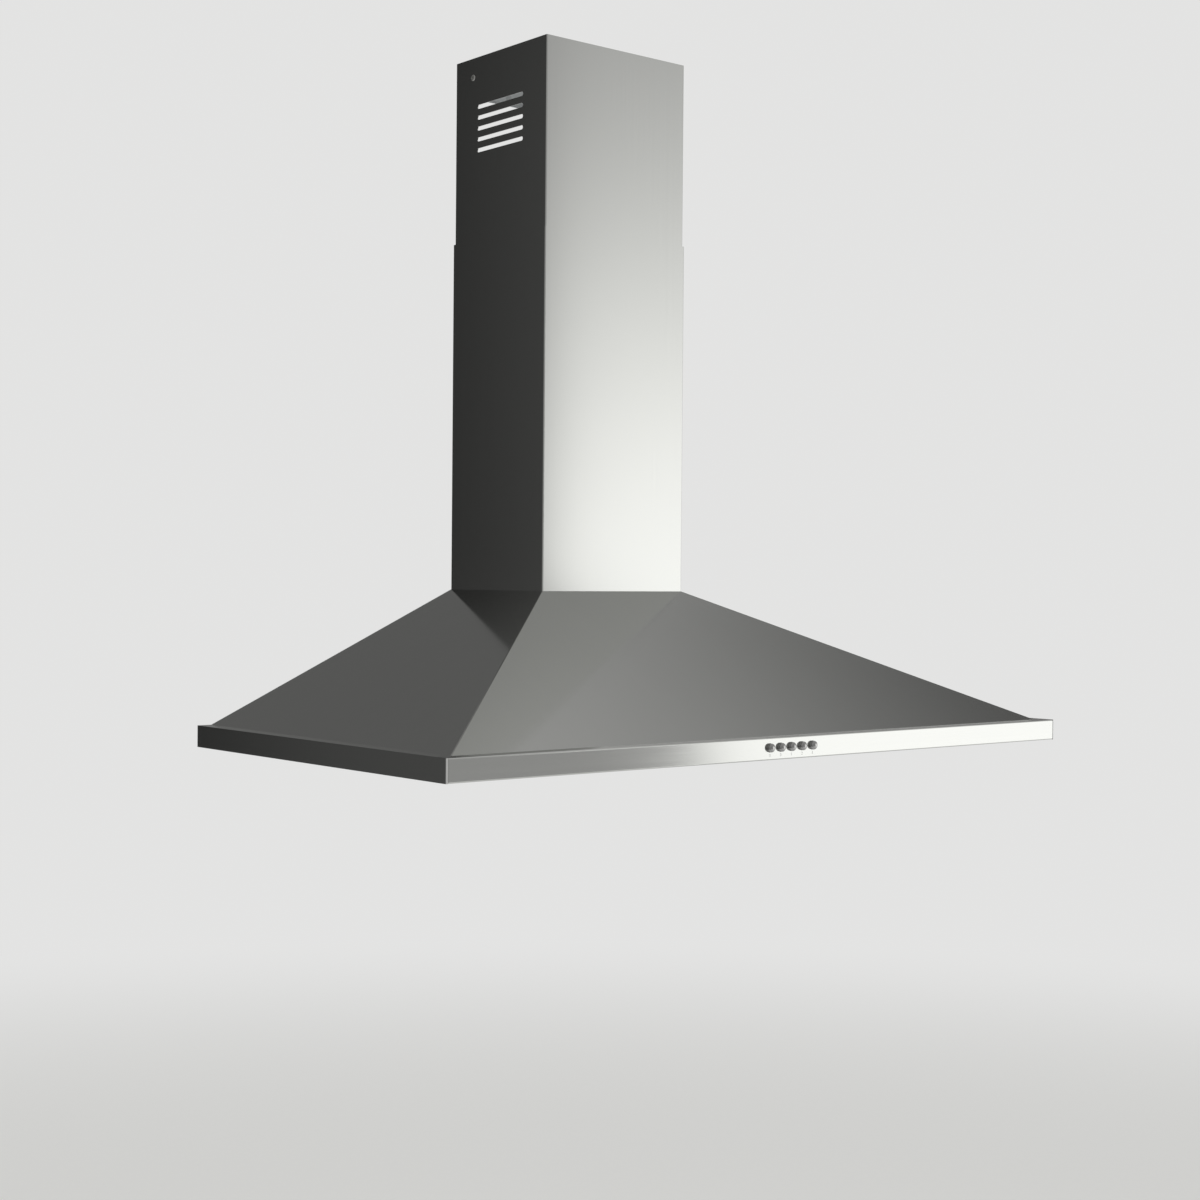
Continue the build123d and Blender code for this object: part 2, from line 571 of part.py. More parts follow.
# ---- duct bracket: a strap on the wall whose wings reach round the returns to the cover's sides ----
strap = BRACKET_SHEET
waist = UPPER_HALF - COVER_RETURN - strap
knee = UPPER_REAR - SHEET - COVER_GAP - strap
bracket_levels = (BRACKET_BOTTOM, BRACKET_BOTTOM + BRACKET_HEIGHT)
with BuildPart() as duct_bracket:
    block((-waist, waist), (-strap, 0), bracket_levels)
    for side in (-1, 1):
        block(sorted((side * (waist - strap), side * waist)), (knee, 0), bracket_levels)
        block(sorted((side * (waist - strap), side * BRACKET_WING)), (knee - strap, knee), bracket_levels)
        wing = sorted((side * (BRACKET_WING - strap), side * BRACKET_WING))
        block(wing, (knee - BRACKET_REACH, knee), bracket_levels)
    with BuildSketch(facing_room(0)):
        with Locations((0, BRACKET_MIDDLE)):
            with GridLocations(BRACKET_HOLE_SPACING, 0, 2, 1):
                Circle(BRACKET_HOLE_RADIUS)
    extrude(amount=2 * strap, mode=Mode.SUBTRACT)
    cross_rod(screw_y, BRACKET_MIDDLE, DUCT_HALF, SCREW_RADIUS, Mode.SUBTRACT)
pieces["duct_bracket"] = duct_bracket

with BuildPart() as duct_cover_screws:
    for side in (-1, 1):
        with BuildSketch(Plane(origin=(side * UPPER_HALF, screw_y, BRACKET_MIDDLE), z_dir=(-side, 0, 0))):
            Circle(SCREW_RADIUS)
        extrude(amount=SCREW_LENGTH)
        with BuildSketch(Plane(origin=(side * UPPER_HALF, screw_y, BRACKET_MIDDLE), z_dir=(side, 0, 0))):
            Circle(SCREW_HEAD_RADIUS)
        extrude(amount=SHEET)
pieces["duct_cover_screws"] = duct_cover_screws

# ---- blower box: stands on the canopy's top flange, open below, with the outlet in its top ----
with BuildPart() as blower_box:
    block((-BOX_HALF, BOX_HALF), (BOX_FRONT, BOX_REAR), (CANOPY_TOP, BOX_TOP))
    inside = BOX_HALF - BOX_SHEET
    block(
        (-inside, inside), (BOX_FRONT + BOX_SHEET, BOX_REAR - BOX_SHEET),
        (CANOPY_TOP + BOX_SHEET, NECK_TOP), Mode.SUBTRACT,
    )
    mouth = BOX_HALF - BOX_FLANGE
    block(
        (-mouth, mouth), (BOX_FRONT + BOX_FLANGE, BOX_REAR - BOX_FLANGE),
        (CANOPY_TOP, CANOPY_TOP + BOX_SHEET), Mode.SUBTRACT,
    )
    for x, y in box_screw_places:
        post(x, y, CANOPY_TOP, CANOPY_TOP + BOX_SHEET, SCREW_HOLE_RADIUS, Mode.SUBTRACT)
    with BuildSketch(Plane.XY.offset(NECK_TOP)):
        with Locations((0, BOX_MIDDLE)):
            Circle(COLLAR_INNER)
        with Locations(((NECK_LEFT + NECK_RIGHT) / 2, BOX_MIDDLE)):
            Rectangle(
                NECK_RIGHT - NECK_LEFT - 2 * SCROLL_WALL, SCROLL_REAR - SCROLL_FRONT - 2 * SCROLL_WALL,
                mode=Mode.INTERSECT,
            )
    extrude(amount=BOX_SHEET, mode=Mode.SUBTRACT)
pieces["blower_box"] = blower_box


# ---- scroll: a four-centre spiral in two halves, with a neck up to the box's outlet ----
def scroll_outline():
    """Draw the spiral, clockwise from the tongue, and its neck."""
    tongue = (FAN_X, SPIRAL_TOP)
    left = JernArc(start=tongue, tangent=(-1, 0), radius=SPIRAL_1, arc_size=90)
    bottom = JernArc(start=left @ 1, tangent=left % 1, radius=SPIRAL_2, arc_size=90)
    right = JernArc(start=bottom @ 1, tangent=bottom % 1, radius=SPIRAL_3, arc_size=90)
    lip = JernArc(start=tongue, tangent=(1, 0), radius=TONGUE_RADIUS, arc_size=90)
    Polyline(right @ 1, (NECK_RIGHT, NECK_TOP), (NECK_LEFT, NECK_TOP), lip @ 1)


def scroll_half(plate, parting):
    """Add one half: a spiral wall from its side plate to the parting line, with a round inlet."""
    low, high = sorted((plate, parting))
    with BuildSketch(facing_room(high)) as casing:
        with BuildLine():
            scroll_outline()
        make_face()
    extrude(casing.sketch, amount=high - low)
    wall = SCROLL_WALL if parting > plate else -SCROLL_WALL
    cut_low, cut_high = sorted((plate + wall, parting))
    with BuildSketch(facing_room(cut_high)) as hollow:
        with BuildLine():
            scroll_outline()
        make_face()
        offset(amount=-SCROLL_WALL, mode=Mode.REPLACE)
    extrude(hollow.sketch, amount=cut_high - cut_low, mode=Mode.SUBTRACT)
    block(
        (NECK_LEFT + SCROLL_WALL, NECK_RIGHT - SCROLL_WALL), (cut_low, cut_high),
        (NECK_TOP - 2 * SCROLL_WALL, NECK_TOP), Mode.SUBTRACT,
    )
    plate_low, plate_high = sorted((plate, plate + wall))
    rod(FAN_X, FAN_Z, plate_low, plate_high, INLET_RADIUS, Mode.SUBTRACT)


arm_length = (INLET_RADIUS + FAN_RADIUS) / 2 + ARM_WIDTH / 2
arm_angles = [ARM_START + 360 * number / ARM_COUNT for number in range(ARM_COUNT)]
arm_places = [
    (FAN_X + arm_length * cos(radians(angle)), FAN_Z + arm_length * sin(radians(angle)))
    for angle in arm_angles
]
with BuildPart() as scroll_front:
    scroll_half(SCROLL_FRONT, BOX_MIDDLE)
pieces["scroll_front"] = scroll_front

with BuildPart() as scroll_rear:
    scroll_half(SCROLL_REAR, BOX_MIDDLE)
    for x, z in arm_places:
        rod(x, z, SCROLL_REAR - SCROLL_WALL, SCROLL_REAR, SCREW_RADIUS, Mode.SUBTRACT)
pieces["scroll_rear"] = scroll_rear

# ---- motor: a cup inside the impeller's rear half, closed by the bracket that carries it ----
with BuildPart() as motor_shell:
    rod(FAN_X, FAN_Z, MOTOR_FRONT, SCROLL_REAR, MOTOR_RADIUS)
    rod(FAN_X, FAN_Z, MOTOR_FRONT + MOTOR_WALL, SCROLL_REAR, MOTOR_RADIUS - MOTOR_WALL, Mode.SUBTRACT)
    rod(FAN_X, FAN_Z, MOTOR_FRONT, MOTOR_FRONT + MOTOR_WALL, BUSH_RADIUS, Mode.SUBTRACT)
pieces["motor_shell"] = motor_shell

with BuildPart() as motor_bracket:
    rod(FAN_X, FAN_Z, SCROLL_REAR, SCROLL_REAR + ARM_THICKNESS, MOTOR_RADIUS)
    hub_plane = Plane(
        origin=(FAN_X, SCROLL_REAR + ARM_THICKNESS, FAN_Z), x_dir=(1, 0, 0), z_dir=(0, -1, 0),
    )
    with BuildSketch(hub_plane):
        with PolarLocations(arm_length / 2, ARM_COUNT, start_angle=ARM_START):
            Rectangle(arm_length, ARM_WIDTH)
        with PolarLocations(arm_length, ARM_COUNT, start_angle=ARM_START):
            Circle(ARM_WIDTH / 2)
            Circle(SCREW_HOLE_RADIUS, mode=Mode.SUBTRACT)
    extrude(amount=ARM_THICKNESS)
    boss_top = FAN_Z - BUSH_RADIUS - SHEET
    block(
        (FAN_X - TERMINAL_BOSS / 2, FAN_X + TERMINAL_BOSS / 2),
        (SCROLL_REAR + ARM_THICKNESS, SCROLL_REAR + ARM_THICKNESS + TERMINAL_BOSS_DEPTH),
        (boss_top - TERMINAL_BOSS, boss_top),
    )
    rod(FAN_X, FAN_Z, SCROLL_REAR, SCROLL_REAR + ARM_THICKNESS, BUSH_RADIUS, Mode.SUBTRACT)
pieces["motor_bracket"] = motor_bracket

bush_spans = (
    (MOTOR_FRONT, MOTOR_FRONT + BUSH_LENGTH),
    (SCROLL_REAR + ARM_THICKNESS - BUSH_LENGTH, SCROLL_REAR + ARM_THICKNESS),
)
with BuildPart() as motor_bushes:
    for front, rear in bush_spans:
        rod(FAN_X, FAN_Z, front, rear, BUSH_RADIUS - FIT_GAP)
        rod(FAN_X, FAN_Z, front, rear, SHAFT_RADIUS + SHAFT_CLEARANCE, Mode.SUBTRACT)
pieces["motor_bushes"] = motor_bushes

with BuildPart() as motor_stator:
    stator_front = STATOR_MIDDLE - STATOR_LENGTH / 2
    rod(FAN_X, FAN_Z, stator_front, stator_front + STATOR_LENGTH, STATOR_RADIUS)
    rod(FAN_X, FAN_Z, stator_front, stator_front + STATOR_LENGTH, STATOR_INNER_RADIUS, Mode.SUBTRACT)
pieces["motor_stator"] = motor_stator

# ---- rotor: a sheet-metal impeller of disc, blades and end rings, its shaft and rotor core ----
with BuildPart() as motor_shaft:
    rod(FAN_X, FAN_Z, HUB_FRONT, SCROLL_REAR + ARM_THICKNESS, SHAFT_RADIUS)
pieces["motor_shaft"] = motor_shaft

with BuildPart() as rotor_core:
    rod(
        FAN_X, FAN_Z, stator_front, stator_front + STATOR_LENGTH, STATOR_INNER_RADIUS - CORE_AIR_GAP,
    )
    rod(FAN_X, FAN_Z, stator_front, stator_front + STATOR_LENGTH, SHAFT_RADIUS + FIT_GAP, Mode.SUBTRACT)
pieces["rotor_core"] = rotor_core

blade_middle = FAN_RADIUS - FAN_RING_WIDTH / 2


def blade_row(front, rear, gap=0.0, mode=Mode.ADD):
    """Add the blades between two places along the shaft, or cut their slots."""
    with BuildSketch(facing_room(rear)) as section:
        with Locations((FAN_X, FAN_Z)):
            with PolarLocations(blade_middle, BLADE_COUNT):
                Rectangle(BLADE_CHORD + 2 * gap, BLADE_THICKNESS + 2 * gap, rotation=BLADE_ANGLE)
    extrude(section.sketch, amount=rear - front, mode=mode)


with BuildPart() as impeller_disc:
    rod(FAN_X, FAN_Z, DISC_FRONT, DISC_REAR, FAN_RADIUS)
    blade_row(DISC_FRONT, DISC_REAR, FIT_GAP, Mode.SUBTRACT)
    rod(FAN_X, FAN_Z, HUB_FRONT, DISC_REAR, HUB_RADIUS)
    rod(FAN_X, FAN_Z, HUB_FRONT, DISC_REAR, SHAFT_RADIUS + FIT_GAP, Mode.SUBTRACT)
pieces["impeller_disc"] = impeller_disc

with BuildPart() as impeller_blades:
    blade_row(FAN_FRONT + FAN_RING_THICKNESS, FAN_REAR - FAN_RING_THICKNESS)
pieces["impeller_blades"] = impeller_blades

with BuildPart() as impeller_rings:
    for ring_front in (FAN_FRONT, FAN_REAR - FAN_RING_THICKNESS):
        with BuildSketch(facing_room(ring_front + FAN_RING_THICKNESS)):
            with Locations((FAN_X, FAN_Z)):
                Circle(FAN_RADIUS)
                Circle(FAN_RADIUS - FAN_RING_WIDTH, mode=Mode.SUBTRACT)
        extrude(amount=FAN_RING_THICKNESS)
pieces["impeller_rings"] = impeller_rings

# ---- outlet collar and two back-draft flaps, each on a pin of its own beside the middle ----
pin_places = [BOX_MIDDLE + way * FLAP_PIN_SPACING / 2 for way in (-1, 1)]
with BuildPart() as outlet_collar:
    post(0, BOX_MIDDLE, BOX_TOP, BOX_TOP + COLLAR_WALL, COLLAR_RADIUS + COLLAR_FLANGE)
    post(0, BOX_MIDDLE, BOX_TOP, COLLAR_TOP, COLLAR_RADIUS)
    post(0, BOX_MIDDLE, BOX_TOP, COLLAR_TOP, COLLAR_INNER, Mode.SUBTRACT)
    for pin_y in pin_places:
        cross_rod(pin_y, FLAP_Z, COLLAR_RADIUS, FLAP_PIN_RADIUS + FIT_GAP, Mode.SUBTRACT)
pieces["outlet_collar"] = outlet_collar

with BuildPart() as flap_pins:
    for pin_y in pin_places:
        cross_rod(pin_y, FLAP_Z, COLLAR_INNER + COLLAR_WALL / 2, FLAP_PIN_RADIUS)
pieces["flap_pins"] = flap_pins

flap_radius = COLLAR_INNER - FLAP_EDGE_GAP
knuckle_half = sqrt(flap_radius**2 - (FLAP_PIN_SPACING / 2 + KNUCKLE_RADIUS) ** 2)
for flap_name, way, pin_y in (("flap_front", -1, pin_places[0]), ("flap_rear", 1, pin_places[1])):
    with BuildPart() as flap:
        with BuildSketch(Plane.XY.offset(FLAP_Z - FLAP_THICKNESS / 2)):
            with Locations((0, BOX_MIDDLE)):
                Circle(flap_radius)
            with Locations((0, pin_y + way * flap_radius / 2)):
                Rectangle(2 * flap_radius, flap_radius, mode=Mode.INTERSECT)
        extrude(amount=FLAP_THICKNESS)
        cross_rod(pin_y, FLAP_Z, knuckle_half, KNUCKLE_RADIUS)
        cross_rod(pin_y, FLAP_Z, flap_radius, KNUCKLE_BORE, Mode.SUBTRACT)
    pieces[flap_name] = flap

# ---- screws: pan heads for the box, the motor bracket and the junction box, flush heads for the panel ----
with BuildPart() as pan_head_screws:
    for x, y in box_screw_places:
        pan_screw(x, y, CANOPY_TOP + BOX_SHEET, (0, 0, -1))
    for x, z in arm_places:
        pan_screw(x, SCROLL_REAR + ARM_THICKNESS, z, (0, -1, 0))
    for x, z in cover_screw_places:
        pan_screw(x, JBOX_FRONT - JBOX_WALL, z, (0, 1, 0))
pieces["pan_head_screws"] = pan_head_screws

with BuildPart() as countersunk_screws:
    for x, y in side_screw_places + front_screw_places:
        flush_screw(x, y)
pieces["countersunk_screws"] = countersunk_screws

# ---- grease filters with their latches and latch springs ----
latch_z = (PANEL_BOTTOM + LATCH_SIDE_GAP, FILTER_TOP - POCKET_ROOF - LATCH_SIDE_GAP)
filter_front = OPENING_FRONT + FILTER_GAP
filter_rear = OPENING_REAR - FILTER_GAP
pocket_front = filter_front + POCKET_FRONT_WALL
latch_front = pocket_front + LATCH_SIDE_GAP
latch_rear = latch_front + LATCH_LENGTH
pocket_rear = latch_rear + LATCH_TRAVEL + SPRING_ROOM
tongue_bottom = PANEL_TOP + LATCH_SIDE_GAP
wing_bottom = (latch_z[0] + latch_z[1]) / 2 - LATCH_WING_HEIGHT / 2
gap = LATCH_SIDE_GAP
for side_name, side in (("left", -1), ("right", 1)):
    middle = side * OPENING_CENTRE
    outer = OPENING_CENTRE - OPENING_INNER - FILTER_GAP
    window = outer - FILTER_RAIL
    window_span = (middle - window, middle + window)
    window_depth = (filter_front + FILTER_FRONT_LAND, filter_rear - FILTER_RAIL)

    with BuildPart() as filter_frame:
        block((middle - outer, middle + outer), (filter_front, filter_rear), (PANEL_BOTTOM, FILTER_TOP))
        block(window_span, window_depth, (PANEL_BOTTOM, FILTER_TOP), Mode.SUBTRACT)
        for tab in (-1, 1):
            tab_middle = middle + tab * (outer - TAB_INSET)
            block(
                (tab_middle - TAB_WIDTH / 2, tab_middle + TAB_WIDTH / 2),
                (filter_rear, filter_rear + FILTER_GAP + TAB_REACH),
                (PANEL_TOP + LIFT_GAP, PANEL_TOP + LIFT_GAP + TAB_THICKNESS),
            )
        pocket = LATCH_WIDTH / 2
        block(
            (middle - pocket, middle + pocket), (pocket_front, pocket_rear),
            (PANEL_BOTTOM, FILTER_TOP - POCKET_ROOF), Mode.SUBTRACT,
        )
        groove = pocket + LATCH_WING
        block(
            (middle - groove, middle + groove), (pocket_front, pocket_rear),
            (wing_bottom - gap, wing_bottom + LATCH_WING_HEIGHT + gap), Mode.SUBTRACT,
        )
        slot = TONGUE_WIDTH / 2 + gap
        block(
            (middle - slot, middle + slot), (filter_front, pocket_front),
            (tongue_bottom - gap, tongue_bottom + TONGUE_THICKNESS + gap), Mode.SUBTRACT,
        )
    pieces[f"filter_frame_{side_name}"] = filter_frame

    with BuildPart() as filter_mesh:
        layer_step = (FILTER_THICKNESS - MESH_SHEET - 2 * SHEET) / (MESH_LAYERS - 1)
        for layer in range(MESH_LAYERS):
            bottom = PANEL_BOTTOM + SHEET + layer * layer_step
            block(window_span, window_depth, (bottom, bottom + MESH_SHEET))
    pieces[f"filter_mesh_{side_name}"] = filter_mesh

    with BuildPart() as latch:
        body = LATCH_WIDTH / 2 - gap
        block((middle - body, middle + body), (latch_front, latch_rear), latch_z)
        wings = body + LATCH_WING
        block(
            (middle - wings, middle + wings), (latch_front, latch_rear),
            (wing_bottom, wing_bottom + LATCH_WING_HEIGHT),
        )
        block(
            (middle - TONGUE_WIDTH / 2, middle + TONGUE_WIDTH / 2),
            (OPENING_FRONT + TONGUE_END_GAP, latch_front),
            (tongue_bottom, tongue_bottom + TONGUE_THICKNESS),
        )
        grip = (LATCH_WIDTH - 4 * LATCH_WING) / 2
        block(
            (middle - grip, middle + grip), (latch_front + LATCH_WING, latch_rear - LATCH_WING),
            (latch_z[0], latch_z[0] + LATCH_WING), Mode.SUBTRACT,
        )
    pieces[f"filter_latch_{side_name}"] = latch

    with BuildPart() as latch_spring:
        reach = pocket_rear - latch_rear - 2 * SPRING_STRIP
        steps = 2 * SPRING_WAVES
        zigzag = [
            (middle + (SPRING_WIDTH if step % 2 else -SPRING_WIDTH),
             latch_rear + SPRING_STRIP + reach * step / steps)
            for step in range(steps + 1)
        ]
        with BuildSketch(Plane.XY.offset(wing_bottom)):
            with BuildLine():
                FilletPolyline(*zigzag, radius=SPRING_STRIP)
            trace(line_width=SPRING_STRIP)
        extrude(amount=LATCH_WING_HEIGHT)
    pieces[f"latch_spring_{side_name}"] = latch_spring

# ---- lamps: bezel, lens, can and LED board on each side of the front strip ----
lens_bottom = SHEET
lens_radius = LAMP_HOLE_RADIUS - FIT_GAP - BEZEL_WALL - FIT_GAP
board_top = PANEL_TOP + CAN_HEIGHT - LED_BOARD_DROP
can_inner = LAMP_HOLE_RADIUS + SEAT_GAP
for side_name, side in (("left", -1), ("right", 1)):
    lamp_x = side * LAMP_SPACING / 2

    with BuildPart() as bezel:
        upstand = LAMP_HOLE_RADIUS - FIT_GAP
        post(lamp_x, LAMP_Y, 0, PANEL_BOTTOM, BEZEL_RADIUS)
        post(lamp_x, LAMP_Y, PANEL_BOTTOM, PANEL_BOTTOM + BEZEL_UPSTAND, upstand)
        post(lamp_x, LAMP_Y, 0, lens_bottom, upstand - BEZEL_WALL - BEZEL_LIP, Mode.SUBTRACT)
        post(
            lamp_x, LAMP_Y, lens_bottom, PANEL_BOTTOM + BEZEL_UPSTAND, upstand - BEZEL_WALL,
            Mode.SUBTRACT,
        )
    pieces[f"lamp_bezel_{side_name}"] = bezel

    with BuildPart() as lens:
        post(lamp_x, LAMP_Y, lens_bottom, lens_bottom + LENS_THICKNESS, lens_radius)
    pieces[f"lamp_lens_{side_name}"] = lens

    with BuildPart() as can:
        post(lamp_x, LAMP_Y, PANEL_TOP, PANEL_TOP + CAN_WALL, BEZEL_RADIUS)
        post(lamp_x, LAMP_Y, PANEL_TOP, PANEL_TOP + CAN_HEIGHT, can_inner + CAN_WALL)
        post(lamp_x, LAMP_Y, PANEL_TOP, board_top, can_inner, Mode.SUBTRACT)
        post(
            lamp_x, LAMP_Y, board_top, PANEL_TOP + CAN_HEIGHT - CAN_WALL, can_inner - SHEET,
            Mode.SUBTRACT,
        )
    pieces[f"lamp_can_{side_name}"] = can

    with BuildPart() as board:
        post(
            lamp_x, LAMP_Y, board_top - LED_BOARD_THICKNESS, board_top, can_inner - FIT_GAP,
        )
        with BuildSketch(Plane.XY.offset(board_top - LED_BOARD_THICKNESS - SHEET)):
            with Locations((lamp_x, LAMP_Y)):
                with PolarLocations(LED_RING_RADIUS, LED_COUNT):
                    Rectangle(LED_SIZE, LED_SIZE)
        extrude(amount=SHEET)
    pieces[f"led_board_{side_name}"] = board

# ---- push buttons and the switch housing behind the fascia ----
flange_front = FASCIA_BACK + PART_GAP
stem_rear = flange_front + STEM_LENGTH
for button_name, (button_x, button_z) in zip(BUTTON_NAMES, button_places):
    with BuildPart() as button:
        rod(button_x, button_z, BUTTON_FRONT, flange_front, BUTTON_RADIUS)
        rod(
            button_x, button_z, flange_front, flange_front + BUTTON_FLANGE_THICKNESS,
            FASCIA_HOLE_RADIUS + BUTTON_FLANGE,
        )
        rod(button_x, button_z, flange_front, stem_rear, STEM_RADIUS)
        fillet(button.edges().filter_by(GeomType.CIRCLE).group_by(Axis.Y)[0], radius=BUTTON_ROUND)
    pieces[f"button_{button_name}"] = button

with BuildPart() as switch_housing:
    block(
        (-HOUSING_HALF, HOUSING_HALF), (HOUSING_FRONT, HOUSING_REAR), (HOUSING_BOTTOM, HOUSING_TOP),
    )
    ear_levels = (BUTTON_HEIGHT - HOUSING_EAR_HEIGHT / 2, BUTTON_HEIGHT + HOUSING_EAR_HEIGHT / 2)
    for side in (-1, 1):
        block(
            sorted((side * HOUSING_HALF, side * (HOUSING_HALF + HOUSING_EAR))),
            (FASCIA_BACK, HOUSING_FRONT + HOUSING_SETBACK), ear_levels,
        )
    for x, z in button_places:
        rod(x, z, HOUSING_FRONT, stem_rear + BUTTON_TRAVEL + SEAT_GAP, STEM_RADIUS + STEM_GAP, Mode.SUBTRACT)
pieces["switch_housing"] = switch_housing

# ---- junction box on the back panel, right of the blower ----
with BuildPart() as junction_box:
    block((JBOX_LEFT, JBOX_RIGHT), (JBOX_FRONT, JBOX_REAR), (JBOX_BOTTOM, JBOX_TOP))
    block(
        (JBOX_LEFT + JBOX_WALL, JBOX_RIGHT - JBOX_WALL), (JBOX_FRONT, JBOX_REAR - JBOX_WALL),
        (JBOX_BOTTOM + JBOX_WALL, JBOX_TOP - JBOX_WALL), Mode.SUBTRACT,
    )
    for x, z in cover_screw_places:
        span = (x - JBOX_POST / 2, x + JBOX_POST / 2)
        block(span, (JBOX_FRONT, JBOX_REAR - JBOX_WALL), (z - JBOX_POST / 2, z + JBOX_POST / 2))
        rod(x, z, JBOX_FRONT, JBOX_FRONT + SCREW_LENGTH, SCREW_RADIUS, Mode.SUBTRACT)
    post(
        JBOX_CENTRE + GLAND_OFFSET, (JBOX_FRONT + JBOX_REAR) / 2, JBOX_TOP - JBOX_WALL, JBOX_TOP,
        GLAND_BORE_RADIUS, Mode.SUBTRACT,
    )
pieces["junction_box"] = junction_box

with BuildPart() as junction_box_cover:
    block((JBOX_LEFT, JBOX_RIGHT), (JBOX_FRONT - JBOX_WALL, JBOX_FRONT), (JBOX_BOTTOM, JBOX_TOP))
    for x, z in cover_screw_places:
        rod(x, z, JBOX_FRONT - JBOX_WALL, JBOX_FRONT, SCREW_HOLE_RADIUS, Mode.SUBTRACT)
pieces["junction_box_cover"] = junction_box_cover

with BuildPart() as cable_gland:
    gland_y = (JBOX_FRONT + JBOX_REAR) / 2
    with BuildSketch(Plane.XY.offset(JBOX_TOP)):
        with Locations((JBOX_CENTRE + GLAND_OFFSET, gland_y)):
            RegularPolygon(radius=GLAND_RADIUS, side_count=6)
    extrude(amount=GLAND_HEIGHT / 2)
    post(
        JBOX_CENTRE + GLAND_OFFSET, gland_y, JBOX_TOP, JBOX_TOP + GLAND_HEIGHT,
        GLAND_RADIUS * cos(radians(30)) - SHEET,
    )
    post(
        JBOX_CENTRE + GLAND_OFFSET, gland_y, JBOX_TOP, JBOX_TOP + GLAND_HEIGHT, GLAND_BORE_RADIUS,
        Mode.SUBTRACT,
    )
pieces["cable_gland"] = cable_gland

terminal_span = TERMINAL_WAYS * TERMINAL_PITCH
terminal_left = JBOX_LEFT + 2 * JBOX_WALL
terminal_front = JBOX_REAR - JBOX_WALL - TERMINAL_DEPTH
terminal_bottom = JBOX_BOTTOM + TERMINAL_SHELF
with BuildPart() as terminal_block:
    block(
        (terminal_left, terminal_left + terminal_span), (terminal_front, JBOX_REAR - JBOX_WALL),
        (terminal_bottom, terminal_bottom + TERMINAL_HEIGHT),
    )
    with BuildSketch(facing_room(terminal_front + TERMINAL_BORE_DEPTH)):
        with Locations((terminal_left + terminal_span / 2, terminal_bottom + TERMINAL_HEIGHT / 2)):
            with GridLocations(TERMINAL_PITCH, TERMINAL_PITCH, TERMINAL_WAYS, 2):
                Circle(TERMINAL_BORE_RADIUS)
    extrude(amount=TERMINAL_BORE_DEPTH, mode=Mode.SUBTRACT)
pieces["terminal_block"] = terminal_block

with BuildPart() as capacitor:
    capacitor_x = JBOX_RIGHT - JBOX_WALL - CAPACITOR_RADIUS - SHEET
    post(
        capacitor_x, (JBOX_FRONT + JBOX_REAR) / 2, JBOX_BOTTOM + JBOX_WALL,
        JBOX_BOTTOM + JBOX_WALL + CAPACITOR_LENGTH, CAPACITOR_RADIUS,
    )
pieces["capacitor"] = capacitor

# ---- wiring that the hood holds all the way, and its clips ----
loom_z = PANEL_TOP + LOOM_RADIUS
loom_y = (JBOX_FRONT + JBOX_REAR) / 2
loom_exit = JBOX_BOTTOM + LOOM_EXIT
loom_front = HOUSING_REAR + LOOM_LEVEL_GAP
with BuildPart() as control_loom:
    cable(
        (
            (JBOX_LEFT, loom_y, loom_exit), (JBOX_LEFT - 35.0, loom_y, loom_exit),
            (JBOX_LEFT - 80.0, loom_y, loom_exit - 24.0), (12.0, loom_y - 4.0, loom_z + 9.0),
            (0.0, loom_y - 40.0, loom_z + 1.5), (0.0, -LOOM_LEVEL_REAR, loom_z), (0.0, loom_front, loom_z),
            (0.0, HOUSING_REAR + LOOM_RISE_GAP, loom_z + LOOM_END_RISE),
            (0.0, HOUSING_REAR, loom_z + LOOM_END_RISE),
        ),
        LOOM_RADIUS,
    )
pieces["control_loom"] = control_loom

lead_start = HOUSING_HALF + HOUSING_EAR
lead_across = LAMP_SPACING / 2 - can_inner - CAN_WALL - lead_start
lead_front = HOUSING_FRONT + LEAD_SETBACK
for side_name, side in (("left", -1), ("right", 1)):
    with BuildPart() as lamp_lead:
        cable(
            [
                (
                    side * (lead_start + across * lead_across), lead_front + back * (LAMP_Y - lead_front),
                    PANEL_TOP + height,
                )
                for across, back, height in LEAD_ROUTE
            ],
            LEAD_RADIUS,
        )
    pieces[f"lamp_lead_{side_name}"] = lamp_lead

boss_y = SCROLL_REAR + ARM_THICKNESS + TERMINAL_BOSS_DEPTH / 2
motor_exit = JBOX_BOTTOM + MOTOR_LEAD_EXIT
with BuildPart() as motor_lead:
    cable(
        (
            (JBOX_LEFT, loom_y, motor_exit), (JBOX_LEFT - 30.0, loom_y, motor_exit),
            (JBOX_LEFT - 64.0, loom_y - 3.0, motor_exit + 30.0), (50.0, loom_y - 6.0, CANOPY_TOP - 14.0),
            (14.0, loom_y - 6.0, CANOPY_TOP + 20.0), (FAN_X, boss_y, CANOPY_TOP + 46.0),
            (FAN_X, boss_y, boss_top - TERMINAL_BOSS),
        ),
        MOTOR_LEAD_RADIUS,
    )
pieces["motor_lead"] = motor_lead

with BuildPart() as cable_clips:
    outer = LOOM_RADIUS + CLIP_STRIP
    clip_step = (-LOOM_LEVEL_REAR - loom_front) / CLIP_COUNT
    for number in range(CLIP_COUNT):
        place = loom_front + (number + 0.5) * clip_step
        span = (place - CLIP_WIDTH / 2, place + CLIP_WIDTH / 2)
        block((-outer, outer), span, (PANEL_TOP, PANEL_TOP + 2 * LOOM_RADIUS + CLIP_STRIP))
        block(
            (-LOOM_RADIUS - FIT_GAP, LOOM_RADIUS + FIT_GAP), span,
            (PANEL_TOP, PANEL_TOP + 2 * LOOM_RADIUS + FIT_GAP), Mode.SUBTRACT,
        )
pieces["cable_clips"] = cable_clips

# ---- every piece in a file of its own ----
os.makedirs("parts", exist_ok=True)
for name, piece in pieces.items():
    piece.part.label = name
    export_step(piece.part, f"parts/{name}.step")
print(len(pieces), "pieces written")
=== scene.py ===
import json
import math

